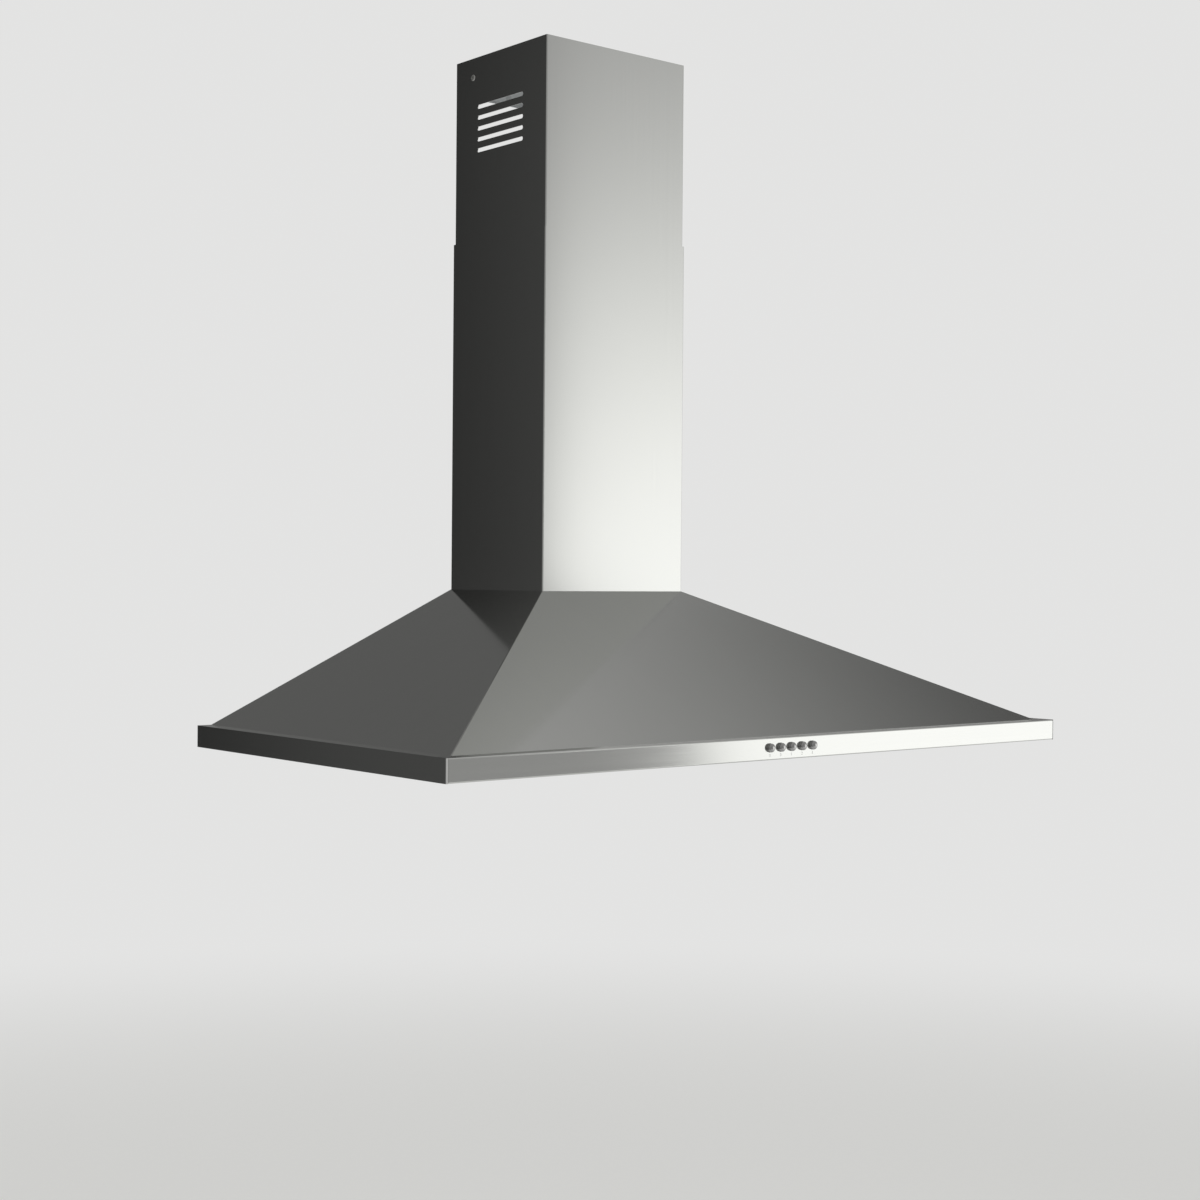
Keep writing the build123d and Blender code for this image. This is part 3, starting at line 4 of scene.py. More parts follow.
import bmesh
import bpy
from bpy.props import FloatProperty, FloatVectorProperty, IntProperty, PointerProperty
from bpy.types import Operator, Panel, PropertyGroup
from mathutils import Matrix, Vector


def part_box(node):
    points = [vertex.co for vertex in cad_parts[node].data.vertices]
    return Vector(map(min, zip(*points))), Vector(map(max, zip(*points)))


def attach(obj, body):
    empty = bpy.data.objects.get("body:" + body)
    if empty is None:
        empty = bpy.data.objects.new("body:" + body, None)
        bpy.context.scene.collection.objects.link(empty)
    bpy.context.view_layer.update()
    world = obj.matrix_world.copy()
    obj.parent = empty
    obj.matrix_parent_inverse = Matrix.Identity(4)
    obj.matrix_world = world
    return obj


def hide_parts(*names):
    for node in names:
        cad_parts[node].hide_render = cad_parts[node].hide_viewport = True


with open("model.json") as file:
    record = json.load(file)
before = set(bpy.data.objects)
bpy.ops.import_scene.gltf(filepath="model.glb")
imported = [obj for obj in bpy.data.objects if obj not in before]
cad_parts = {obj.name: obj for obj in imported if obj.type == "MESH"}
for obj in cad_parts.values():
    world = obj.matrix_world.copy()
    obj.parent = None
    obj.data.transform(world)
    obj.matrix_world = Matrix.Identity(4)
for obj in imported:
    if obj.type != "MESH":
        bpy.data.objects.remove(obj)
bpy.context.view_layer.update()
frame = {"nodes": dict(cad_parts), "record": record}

# The looks of a wall-hung chimney range hood: its sheet metal, push buttons, lamps, grease
# filters, latch springs and screws, on a pale floor in soft light. Metres. X runs to the right as
# seen from the room, +Y into the wall, Z up, and the origin is on the wall, level with the rim's
# underside.

bl_info = {
    "name": "Chimney range hood",
    "version": (1, 0, 0),
    "blender": (4, 5, 0),
    "location": "View3D > Sidebar > Range hood",
    "description": "Dresses a wall-hung chimney range hood and sets it on a plain stage",
    "category": "Object",
}

MM = 0.001
SIDES = ("left", "right")
BUTTONS = ("light", "stop", "speed_1", "speed_2", "speed_3")
VIEWPORT_GREY = (0.5, 0.5, 0.5)
# Corners of a mesh that are nearer to each other than this are one.
MERGE = 0.001 * MM

# Noise cells per metre across the brushing and along it.
FINE_GRAIN = (2600.0, 9.0)
STREAKS = (420.0, 1.5)
CORNER_FOLD = 2.0 * MM
LEVEL_BRUSHED = ("front_fascia", "lamp_strip", "underside_panel")

# A button's dome runs as (share of the cap's radius, distance back from the crown). Its flange
# has a front and a back, as distances from the crown too.
BUTTON_RADIUS = 4.75 * MM
BUTTON_DOME = (
    (0.0, 0.0), (0.25, 0.07 * MM), (0.48, 0.28 * MM), (0.68, 0.63 * MM), (0.83, 1.06 * MM),
    (0.93, 1.56 * MM), (0.985, 2.15 * MM), (1.0, 2.8 * MM),
)
BUTTON_FLANGE = (6.3 * MM, 7.7 * MM)
STEM_RADIUS = 2.4 * MM
MARK_LIFT = 0.02 * MM
MARK_THICKNESS = 0.024 * MM

# Every second layer of a filter's mesh is finer by the squeeze, and each layer lies further on
# by the shift, in shares of a diamond.
LAYER_SQUEEZE = 0.12
LAYER_SHIFT = (0.37, 0.23)

LAMP_HOLE_RADIUS = 28.0 * MM
RING_CLEARANCE = 0.02 * MM
RING_WALL = 1.5 * MM
RING_LIP = 2.0 * MM
RING_FLANGE = 1.0 * MM
LENS_ROUND = 0.3 * MM
LENS_INSET = 0.4 * MM
LENS_RIBS = 9
LENS_RIB_SHARE = 0.85
LENS_RIB_HEIGHT = 0.7 * MM
CHIP_HEIGHT = 1.0 * MM

# A pan head runs as (share of its radius, share of its height), from its top down to its seat.
PAN_HEAD = (
    (0.0, 0.0), (0.62, 0.02), (0.82, 0.13), (0.94, 0.35), (1.0, 0.66), (1.0, 1.0),
)
SCREW_RIDGES = 8
SCREW_RIDGE_HEIGHT = 0.28 * MM
SCREW_TIP = 0.3 * MM
SAME_RING = 0.05 * MM
RECESS_REACH = 0.58
RECESS_HALF_SLOT = 0.42 * MM
RECESS_DEPTH = 1.1 * MM
RECESS_TAPER = 0.72

LATCH_TRAVEL = 5.0 * MM
SPRING_RUNS = 6
SPRING_STRIP = 0.3 * MM
SPRING_LAYER_GAP = 0.1 * MM
SPRING_TURN_STEPS = 8

# The camera's turn is its yaw, pitch and roll, in radians.
CAMERA_PLACE = (-1.4949, -1.9651, 0.1927)
CAMERA_TURN = (0.6907, -0.0117, 0.0084)
CAMERA_LENS = 58.85
# The floor fades while the square of the distance from its centre runs from 40 to 180.
FLOOR_RADIUS = 14.0
FLOOR_CENTRE = -0.3
FLOOR_FADE = (40.0, 180.0)
KEY_PLACE = (2.3, -3.0, 2.6)
KEY_AIM = (0.0, -0.2, 0.3)
KEY_SIZE = 2.4


# ---- shader arithmetic ----
class Signal:
    """One value inside a shader, which Python's operators combine with others."""

    def __init__(self, shader, socket):
        self.shader = shader
        self.socket = socket

    def _join(self, operation, first, second):
        return self.shader.node("ShaderNodeMath", {"operation": operation}, {0: first, 1: second})

    def __add__(self, other):
        return self._join("ADD", self, other)

    def __radd__(self, other):
        return self._join("ADD", other, self)

    def __sub__(self, other):
        return self._join("SUBTRACT", self, other)

    def __rsub__(self, other):
        return self._join("SUBTRACT", other, self)

    def __mul__(self, other):
        return self._join("MULTIPLY", self, other)

    def __rmul__(self, other):
        return self._join("MULTIPLY", other, self)

    def __gt__(self, other):
        return self._join("GREATER_THAN", self, other)

    def size(self):
        """How large this value is, whatever its sign."""
        return self.shader.node("ShaderNodeMath", {"operation": "ABSOLUTE"}, {0: self})

    def over(self, low, high, start=0.0, end=1.0):
        """Run smoothly from start to end while this value runs from low to high."""
        return self.shader.node(
            "ShaderNodeMapRange", {"interpolation_type": "SMOOTHSTEP"},
            {"Value": self, "From Min": low, "From Max": high, "To Min": start, "To Max": end},
        )


class Shader:
    """The nodes of one material or world."""

    def __init__(self, tree):
        self.tree = tree

    def node(self, kind, settings=None, inputs=None, output=0):
        """Add a node with its settings first, then its inputs, and hand back one of its outputs."""
        made = self.tree.nodes.new(kind)
        for name, value in (settings or {}).items():
            setattr(made, name, value)
        for key, value in (inputs or {}).items():
            if isinstance(value, Signal):
                self.tree.links.new(value.socket, made.inputs[key])
            else:
                made.inputs[key].default_value = value
        return Signal(self, made.outputs[output])

    def mix(self, share, first, second):
        """Mix two colours, which this node takes at its inputs 6 and 7 and gives at output 2."""
        return self.node(
            "ShaderNodeMix", {"data_type": "RGBA"},
            {0: share, 6: opaque(first), 7: opaque(second)}, 2,
        )

    def noise(self, vector, scale, detail, roughness):
        """Cloudy noise between 0 and 1."""
        return self.node(
            "ShaderNodeTexNoise", {},
            {"Vector": vector, "Scale": scale, "Detail": detail, "Roughness": roughness},
        )

    def split(self, vector):
        """The three parts of a vector."""
        parted = self.node("ShaderNodeSeparateXYZ", {}, {0: vector})
        outputs = parted.socket.node.outputs
        return [Signal(self, outputs[number]) for number in range(3)]

    def join(self, x, y, z):
        """A vector made of three values."""
        return self.node("ShaderNodeCombineXYZ", {}, {0: x, 1: y, 2: z})

    def place(self, kind="Object"):
        """Where a point of the surface lies, in the hood's own frame."""
        made = self.node("ShaderNodeTexCoord")
        return Signal(self, made.socket.node.outputs[kind])

    def bump(self, height, depth, strength):
        """A normal tilted by a height that spans a depth."""
        return self.node(
            "ShaderNodeBump", {}, {"Height": height, "Distance": depth, "Strength": strength},
        )


def opaque(colour):
    """Give a plain colour its fourth number, and leave a signal as it is."""
    return colour if isinstance(colour, Signal) else (*tuple(colour)[:3], 1.0)


def shade(colour, factor):
    """A plain colour made lighter or darker."""
    return tuple(min(1.0, part * factor) for part in tuple(colour)[:3])


def new_finish(name, **constants):
    """A material with its shader, and the sockets that stay the same all over set on it."""
    material = bpy.data.materials.new(name)
    material.use_nodes = True
    surface = material.node_tree.nodes["Principled BSDF"]
    for socket, value in constants.items():
        surface.inputs[socket.replace("_", " ")].default_value = value
    material.diffuse_color = opaque(VIEWPORT_GREY)
    return material, Shader(material.node_tree), surface


def feed(shader, surface, **signals):
    """Link what changes over a surface to its sockets."""
    for socket, signal in signals.items():
        shader.tree.links.new(signal.socket, surface.inputs[socket.replace("_", " ")])


# ---- sheet metal finishes ----
def brushed_sheet(name, colour, roughness, level=False):
    """Stainless sheet brushed up and down each face, or along its length where level is set."""
    band_low, band_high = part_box("canopy_shell")
    fold_x, fold_y = band_high.x - CORNER_FOLD, band_low.y
    material, shader, surface = new_finish(name, Metallic=1.0)
    x, y, z = shader.split(shader.place())
    if level:
        across = y + z
        fine, streak = (
            shader.join(x * slow, across * fast, 0.0) for fast, slow in (FINE_GRAIN, STREAKS)
        )
    else:
        facing_x, facing_y, _ = shader.split(shader.place("Normal"))
        sideways = facing_x.size() > facing_y.size()
        across = x * (1.0 - sideways) + y * sideways
        along = y * (1.0 - sideways) + x * sideways
        fine, streak = (
            shader.join(across * fast, along * slow, z * slow)
            for fast, slow in (FINE_GRAIN, STREAKS)
        )
    grain = shader.noise(fine, 1.0, 3.0, 0.6)
    bands = shader.noise(streak, 1.0, 3.0, 0.55)
    cloud = shader.noise(shader.place(), 5.0, 3.0, 0.5)
    tone = bands.over(0.2, 0.8) * 0.35 + grain.over(0.2, 0.8) * 0.65
    # At the tight folds of the rim's front corners, the left one is painted bright as a highlight
    # and the right one painted dark as shade.
    corner = (
        x.size().over(fold_x - 0.4 * MM, fold_x + 0.2 * MM)
        * y.over(fold_y + 2.0 * MM, fold_y + 1.0 * MM)
    )
    # Near white is the painted highlight on the left fold, near black the painted shade on the
    # right.
    fold = shader.mix(x > 0.0, (0.97, 0.97, 0.96), (0.16, 0.16, 0.16))
    sheet = shader.mix(tone, shade(colour, 0.97), shade(colour, 1.02))
    feed(
        shader, surface,
        Base_Color=shader.mix(corner, sheet, fold),
        Roughness=roughness - 0.02 + tone * 0.03 + cloud * 0.02,
        Normal=shader.bump(grain + bands * 0.4, 0.003 * MM, 0.5),
    )
    return material


def galvanised_sheet(name, colour):
    """Zinc-coated sheet with faint spangles."""
    material, shader, surface = new_finish(name, Metallic=1.0)
    place = shader.place()
    spangle = shader.node(
        "ShaderNodeTexVoronoi", {"feature": "F1"},
        {"Vector": place, "Scale": 110.0, "Randomness": 1.0}, "Color",
    )
    facet, second, _ = shader.split(spangle)
    haze = shader.noise(place, 26.0, 4.0, 0.6)
    tone = facet * 0.55 + haze * 0.45
    feed(
        shader, surface,
        Base_Color=shader.mix(tone, shade(colour, 0.82), shade(colour, 1.12)),
        Roughness=0.34 + second * 0.14 + haze * 0.08,
        Normal=shader.bump(tone, 0.02 * MM, 0.35),
    )
    return material


def polished_metal(name, colour, roughness=0.07):
    """Chromed or polished metal with faint handling marks."""
    material, shader, surface = new_finish(name, Metallic=1.0)
    place = shader.place()
    haze = shader.noise(place, 90.0, 3.0, 0.55)
    fine = shader.noise(place, 900.0, 2.0, 0.5)
    feed(
        shader, surface,
        Base_Color=shader.mix(haze, shade(colour, 0.96), shade(colour, 1.03)),
        Roughness=roughness + haze * 0.05,
        Normal=shader.bump(fine, 0.002 * MM, 0.3),
    )
    return material


def satin_metal(name, colour, roughness, stretch=(1.0, 1.0, 1.0), depth=0.02):
    """Rolled, drawn or turned metal with its marks stretched along one way."""
    material, shader, surface = new_finish(name, Metallic=1.0)
    place = shader.node("ShaderNodeMapping", {}, {"Vector": shader.place(), "Scale": stretch})
    marks = shader.noise(place, 900.0, 3.0, 0.6)
    haze = shader.noise(shader.place(), 34.0, 4.0, 0.55)
    feed(
        shader, surface,
        Base_Color=shader.mix(marks * 0.5 + haze * 0.5, shade(colour, 0.86), shade(colour, 1.1)),
        Roughness=roughness + haze * 0.1 + marks * 0.06,
        Normal=shader.bump(marks, depth * MM, 0.4),
    )
    return material


def moulded_plastic(name, colour, roughness=0.42, grain=900.0, depth=0.03):
    """Moulded plastic with a fine eroded grain and a slightly uneven sheen."""
    material, shader, surface = new_finish(name, Specular_IOR_Level=0.45)
    place = shader.place()
    pores = shader.noise(place, grain, 3.0, 0.6)
    haze = shader.noise(place, 22.0, 3.0, 0.5)
    feed(
        shader, surface,
        Base_Color=shader.mix(haze * 0.7 + pores * 0.3, shade(colour, 0.88), shade(colour, 1.14)),
        Roughness=roughness + haze * 0.1 + pores * 0.06,
        Normal=shader.bump(pores, depth * MM, 0.5),
    )
    return material


def painted_metal(name, colour):
    """Sprayed enamel with a light orange peel."""
    material, shader, surface = new_finish(name, Coat_Weight=0.2, Coat_Roughness=0.2)
    place = shader.place()
    peel = shader.noise(place, 420.0, 2.0, 0.5)
    haze = shader.noise(place, 30.0, 3.0, 0.5)
    feed(
        shader, surface,
        Base_Color=shader.mix(haze, shade(colour, 0.85), shade(colour, 1.2)),
        Roughness=0.38 + haze * 0.12,
        Normal=shader.bump(peel, 0.04 * MM, 0.5),
    )
    return material


def laminated_core(name, colour):
    """Stacked sheet laminations, with their edges in lines across the stack."""
    material, shader, surface = new_finish(name, Metallic=0.8)
    place = shader.place()
    sheets = shader.node(
        "ShaderNodeTexWave", {"wave_type": "BANDS", "bands_direction": "Y", "wave_profile": "SIN"},
        {"Vector": place, "Scale": 300.0, "Distortion": 0.4, "Detail": 1.0},
    )
    rust = shader.noise(place, 70.0, 4.0, 0.6)
    feed(
        shader, surface,
        Base_Color=shader.mix(sheets * 0.6 + rust * 0.4, shade(colour, 0.7), shade(colour, 1.3)),
        Roughness=0.45 + rust * 0.2,
        Normal=shader.bump(sheets, 0.05 * MM, 0.5),
    )
    return material


def frosted_glass(name, colour):
    """The lamps' frosted lens."""
    material, shader, surface = new_finish(name, Transmission_Weight=0.75, IOR=1.46)
    place = shader.place()
    frost = shader.noise(place, 1200.0, 3.0, 0.6)
    haze = shader.noise(place, 60.0, 2.0, 0.5)
    feed(
        shader, surface,
        Base_Color=shader.mix(haze, shade(colour, 0.96), colour),
        Roughness=0.24 + haze * 0.08,
        Normal=shader.bump(frost, 0.02 * MM, 0.5),
    )
    return material


def lamp_board(name, colour, chip_height):
    """A white board whose light chips, below the board, are yellow."""
    material, shader, surface = new_finish(name, Roughness=0.5)
    place = shader.place()
    _, _, height = shader.split(place)
    grain = shader.noise(place, 500.0, 2.0, 0.5)
    chip = height.over(chip_height + 0.1 * MM, chip_height - 0.1 * MM)
    board = shader.mix(grain, shade(colour, 0.94), colour)
    feed(
        shader, surface,
        Base_Color=shader.mix(chip, board, (0.86, 0.68, 0.18)),
        Normal=shader.bump(grain, 0.02 * MM, 0.3),
    )
    return material


def cable_sheath(name, colour):
    """Smooth black sheathing with a dull, slightly dusty skin."""
    material, shader, surface = new_finish(name, Specular_IOR_Level=0.35)
    place = shader.place()
    dust = shader.noise(place, 160.0, 4.0, 0.6)
    feed(
        shader, surface,
        Base_Color=shader.mix(dust, shade(colour, 0.75), shade(colour, 1.5)),
        Roughness=0.5 + dust * 0.2,
        Normal=shader.bump(dust, 0.04 * MM, 0.4),
    )
    return material


def printed_ink(name, colour):
    """Ink of the small marks below the buttons."""
    material, shader, surface = new_finish(name, Roughness=0.5)
    speckle = shader.noise(shader.place(), 2500.0, 2.0, 0.5)
    feed(shader, surface, Base_Color=shader.mix(speckle, shade(colour, 0.8), shade(colour, 1.25)))
    return material


# ---- mesh making ----
def keep(solid, name, material, body, slot, *replaced, smooth=35.0):
    """Turn a finished bmesh into a piece that rides on a body of the hood."""
    bmesh.ops.recalc_face_normals(solid, faces=solid.faces)
    mesh = bpy.data.meshes.new(name)
    solid.to_mesh(mesh)
    solid.free()
    mesh.shade_smooth()
    mesh.set_sharp_from_angle(angle=math.radians(smooth))
    mesh.materials.append(material)
    piece = bpy.data.objects.new(name, mesh)
    bpy.context.scene.collection.objects.link(piece)
    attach(piece, body)
    if replaced:
        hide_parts(*replaced)
    return piece


def turned(solid, profile, centre, axis, steps):
    """Add a turned solid: its profile runs as (radius, distance along the axis), end to end."""
    axis = Vector(axis)
    across = axis.orthogonal().normalized()
    corners, edges = open_path(
        solid, [centre + across * radius + axis * along for radius, along in profile]
    )
    bmesh.ops.spin(
        solid, geom=corners + edges, cent=centre, axis=axis, dvec=(0, 0, 0), angle=math.tau,
        steps=steps, use_merge=True,
    )
    bmesh.ops.remove_doubles(solid, verts=solid.verts, dist=MERGE)


def open_path(solid, places):
    """The corners and the edges of a line from place to place, for an operator to sweep."""
    corners = [solid.verts.new(place) for place in places]
    return corners, [solid.edges.new(pair) for pair in zip(corners, corners[1:])]


def spin_centre(node):
    """The middle of a node's box."""
    low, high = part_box(node)
    return (low + high) / 2


# ---- settings ----
class HoodSteelSettings(PropertyGroup):
    """Colours and roughness of the metal sheets."""

    colour: FloatVectorProperty(
        name="Steel colour", description="Colour of the brushed stainless sheet", subtype="COLOR",
        size=3, min=0.0, max=1.0, default=(0.60, 0.605, 0.59),
    )
    roughness: FloatProperty(
        name="Steel roughness", description="Mean roughness of the brushed sheet", subtype="FACTOR",
        min=0.02, max=1.0, default=0.10,
    )
    zinc: FloatVectorProperty(
        name="Zinc colour", description="Colour of the galvanised sheet", subtype="COLOR", size=3,
        min=0.0, max=1.0, default=(0.56, 0.58, 0.59),
    )
    chrome: FloatVectorProperty(
        name="Chrome colour", description="Colour of the lamp rings", subtype="COLOR", size=3,
        min=0.0, max=1.0, default=(0.78, 0.78, 0.775),
    )
    # Darker than the lamp rings' chrome, as painted shade on the buttons.
    buttons: FloatVectorProperty(
        name="Button colour", description="Colour of the push buttons' metal", subtype="COLOR",
        size=3, min=0.0, max=1.0, default=(0.40, 0.40, 0.395),
    )


class HoodPartSettings(PropertyGroup):
    """Colours of the plastic and other parts."""

    black: FloatVectorProperty(
        name="Black plastic", description="Colour of the scroll, latches and housing",
        subtype="COLOR", size=3, min=0.0, max=1.0, default=(0.035, 0.035, 0.037),
    )
    grey: FloatVectorProperty(
        name="Grey plastic", description="Colour of impeller, flaps and junction box",
        subtype="COLOR", size=3, min=0.0, max=1.0, default=(0.30, 0.31, 0.32),
    )
    ink: FloatVectorProperty(
        name="Ink", description="Colour of the marks below the buttons", subtype="COLOR", size=3,
        min=0.0, max=1.0, default=(0.42, 0.42, 0.42),
    )
    mark_height: FloatProperty(
        name="Mark height", description="Height of the marks below the buttons", subtype="DISTANCE",
        unit="LENGTH", min=1 * MM, max=5 * MM, default=3.2 * MM,
    )
    mark_drop: FloatProperty(
        name="Mark drop", description="From a button's centre down to its mark's centre",
        subtype="DISTANCE", unit="LENGTH", min=6 * MM, max=11 * MM, default=8.0 * MM,
    )


class HoodFilterSettings(PropertyGroup):
    """Sizes of the grease filters' expanded mesh."""

    diamond_width: FloatProperty(
        name="Diamond width", description="Long way of one diamond of the mesh", subtype="DISTANCE",
        unit="LENGTH", min=4 * MM, max=30 * MM, default=12.0 * MM,
    )
    diamond_depth: FloatProperty(
        name="Diamond depth", description="Short way of one diamond of the mesh",
        subtype="DISTANCE", unit="LENGTH", min=3 * MM, max=20 * MM, default=7.0 * MM,
    )
    strand: FloatProperty(
        name="Strand width", description="Width of the mesh's strands", subtype="DISTANCE",
        unit="LENGTH", min=0.4 * MM, max=3 * MM, default=1.3 * MM,
    )
    sheet: FloatProperty(
        name="Strand thickness", description="Thickness of the mesh's strands", subtype="DISTANCE",
        unit="LENGTH", min=0.2 * MM, max=1.5 * MM, default=0.6 * MM,
    )
    layers: IntProperty(
        name="Layers", description="Layers of mesh in each filter", min=1, max=4, default=3,
    )


class HoodStageSettings(PropertyGroup):
    """The floor, the background and the light."""

    floor_drop: FloatProperty(
        name="Floor drop", description="From the rim's underside down to the floor",
        subtype="DISTANCE", unit="LENGTH", min=0.2, max=4.0, default=2.7,
    )
    floor_colour: FloatVectorProperty(
        name="Floor colour", description="Colour of the floor", subtype="COLOR", size=3, min=0.0,
        max=1.0, default=(0.90, 0.90, 0.89),
    )
    background: FloatVectorProperty(
        name="Background", description="What is seen past the floor", subtype="COLOR", size=3,
        min=0.0, max=1.0, default=(0.77, 0.77, 0.765),
    )
    fill: FloatProperty(
        name="Fill light", description="Even light from all round", min=0.0, max=2.0, default=0.66,
    )
    key: FloatProperty(
        name="Key light", description="Power of the large lamp, front right", unit="POWER", min=0.0,
        max=500.0, default=110.0,
    )
    window: FloatProperty(
        name="Window", description="Brightness of the window that the metal mirrors", min=0.0,
        max=4.0, default=1.60,
    )


# ---- operators: finishes of the pieces whose shape is right as it is ----
class RANGEHOOD_OT_finishes(Operator):
    """Give every sheet, moulding and fitting its finish"""

    bl_idname = "rangehood.finishes"
    bl_label = "Finishes"

    def execute(self, context):
        steel = context.scene.hood_steel
        part = context.scene.hood_part
        board_low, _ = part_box("led_board_left")
        finishes = {
            "brushed_sheet": brushed_sheet("brushed_sheet", steel.colour, steel.roughness),
            "galvanised_sheet": galvanised_sheet("galvanised_sheet", steel.zinc),
            "chrome_cap": polished_metal("chrome_cap", steel.chrome),
            # The buttons get a darker copy of the chrome, as painted shade.
            "shaded_button_chrome": polished_metal("shaded_button_chrome", steel.buttons, 0.09),
            "filter_aluminium": satin_metal(
                "filter_aluminium", (0.72, 0.73, 0.74), 0.26, (1, 0.04, 1),
            ),
            "mesh_aluminium": satin_metal("mesh_aluminium", (0.66, 0.67, 0.68), 0.3),
            "can_aluminium": satin_metal(
                "can_aluminium", (0.75, 0.75, 0.76), 0.25, (1, 1, 12),
            ),
            "black_plastic": moulded_plastic("black_plastic", part.black, 0.45),
            "grey_plastic": moulded_plastic("grey_plastic", part.grey),
            "white_plastic": moulded_plastic(
                "white_plastic", (0.80, 0.79, 0.76), 0.3, 400.0, 0.01,
            ),
            "motor_paint": painted_metal("motor_paint", (0.10, 0.10, 0.11)),
            "laminations": laminated_core("laminations", (0.26, 0.23, 0.21)),
            "plain_steel": satin_metal("plain_steel", (0.52, 0.52, 0.52), 0.2, (1, 8, 1), 0.01),
            "bush_bronze": satin_metal("bush_bronze", (0.62, 0.45, 0.22), 0.32),
            "lens_glass": frosted_glass("lens_glass", (0.93, 0.94, 0.95)),
            "board_white": lamp_board(
                "board_white", (0.88, 0.88, 0.86), board_low.z + CHIP_HEIGHT,
            ),
            "cable_sheath": cable_sheath("cable_sheath", (0.06, 0.06, 0.06)),
            "zinc_screw": satin_metal("zinc_screw", (0.62, 0.62, 0.60), 0.2, (1, 1, 1), 0.01),
        }
        level = brushed_sheet("brushed_sheet_level", steel.colour, steel.roughness, level=True)
        for subpart in frame["record"]["subparts"]:
            node = frame["nodes"][subpart["node"]]
            material = finishes[subpart["material_slot"]]
            if subpart["node"] in LEVEL_BRUSHED:
                material = level
            node.data.materials.clear()
            node.data.materials.append(material)
        return {"FINISHED"}


# ---- operators: pieces with more detail than the solids ----
class RANGEHOOD_OT_buttons(Operator):
    """Make the five chromed push buttons, each with a domed cap, a flange and a stem"""

    bl_idname = "rangehood.buttons"
    bl_label = "Push buttons"

    def execute(self, context):
        for name in BUTTONS:
            low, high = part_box(f"button_{name}")
            centre = spin_centre(f"button_{name}")
            centre.y = low.y
            flange = (high.z - low.z) / 2
            front, back = BUTTON_FLANGE
            length = high.y - low.y
            profile = [(BUTTON_RADIUS * share, depth) for share, depth in BUTTON_DOME]
            profile += [
                (BUTTON_RADIUS, front), (flange, front), (flange, back), (STEM_RADIUS, back),
                (STEM_RADIUS, length), (0.0, length),
            ]
            solid = bmesh.new()
            turned(solid, profile, centre, (0, 1, 0), 40)
            keep(
                solid, f"push_button_{name}", bpy.data.materials["shaded_button_chrome"],
                f"{name}_button", "chrome_cap", f"button_{name}",
            )
        return {"FINISHED"}


class RANGEHOOD_OT_marks(Operator):
    """Print a plain mark below each button: a lamp, a nought and the speeds 1, 2 and 3"""

    bl_idname = "rangehood.marks"
    bl_label = "Button marks"

    def execute(self, context):
        part = context.scene.hood_part
        ink = printed_ink("ink", part.ink)
        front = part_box("front_fascia")[0].y
        solid = bmesh.new()
        for name, sign in zip(BUTTONS, ("", "0", "1", "2", "3")):
            centre = spin_centre(f"button_{name}")
            place = Vector((centre.x, front - MARK_LIFT, centre.z - part.mark_drop))
            if sign:
                self.add_sign(solid, sign, place, part.mark_height)
            else:
                self.add_lamp_sign(solid, place, part.mark_height)
        keep(solid, "button_marks", ink, "hood", "black_plastic")
        return {"FINISHED"}

    @staticmethod
    def add_sign(solid, sign, place, height):
        """A figure, upright and read from the front."""
        curve = bpy.data.curves.new("sign", "FONT")
        curve.body = sign
        curve.align_x = "CENTER"
        curve.size = 1.0
        curve.extrude = 0.004
        curve.resolution_u = 4
        holder = bpy.data.objects.new("sign", curve)
        mesh = bpy.data.meshes.new_from_object(holder)
        bpy.data.objects.remove(holder)
        tops = [corner.co.y for corner in mesh.vertices]
        scale = height / (max(tops) - min(tops))
        middle = (max(tops) + min(tops)) / 2
        turn = Matrix.Rotation(math.pi / 2, 4, "X")
        mesh.transform(
            Matrix.Translation(place) @ turn @ Matrix.Scale(scale, 4)
            @ Matrix.Translation((0.0, -middle, 0.0))
        )
        solid.from_mesh(mesh)
        bpy.data.meshes.remove(mesh)
        bmesh.ops.remove_doubles(solid, verts=solid.verts, dist=MERGE / 2)

    @staticmethod
    def add_lamp_sign(solid, place, height):
        """A ring with four short rays."""
        ring = height * 0.26
        wide = height * 0.10
        thin = MARK_THICKNESS / 2
        outer = ring + wide
        section = [(ring, -thin), (outer, -thin), (outer, thin), (ring, thin), (ring, -thin)]
        turned(solid, section, place, (0, 1, 0), 20)
        for number in range(4):
            angle = math.radians(45 + 90 * number)
            middle = place + Vector((math.cos(angle), 0, math.sin(angle))) * (ring + 2.9 * wide)
            bar = bmesh.ops.create_cube(solid, size=1.0)["verts"]
            bmesh.ops.scale(solid, vec=(height * 0.16, 2 * thin, wide), verts=bar)
            turn = Matrix.Rotation(-angle, 3, "Y")
            bmesh.ops.rotate(solid, cent=(0, 0, 0), matrix=turn, verts=bar)
            bmesh.ops.translate(solid, vec=middle, verts=bar)


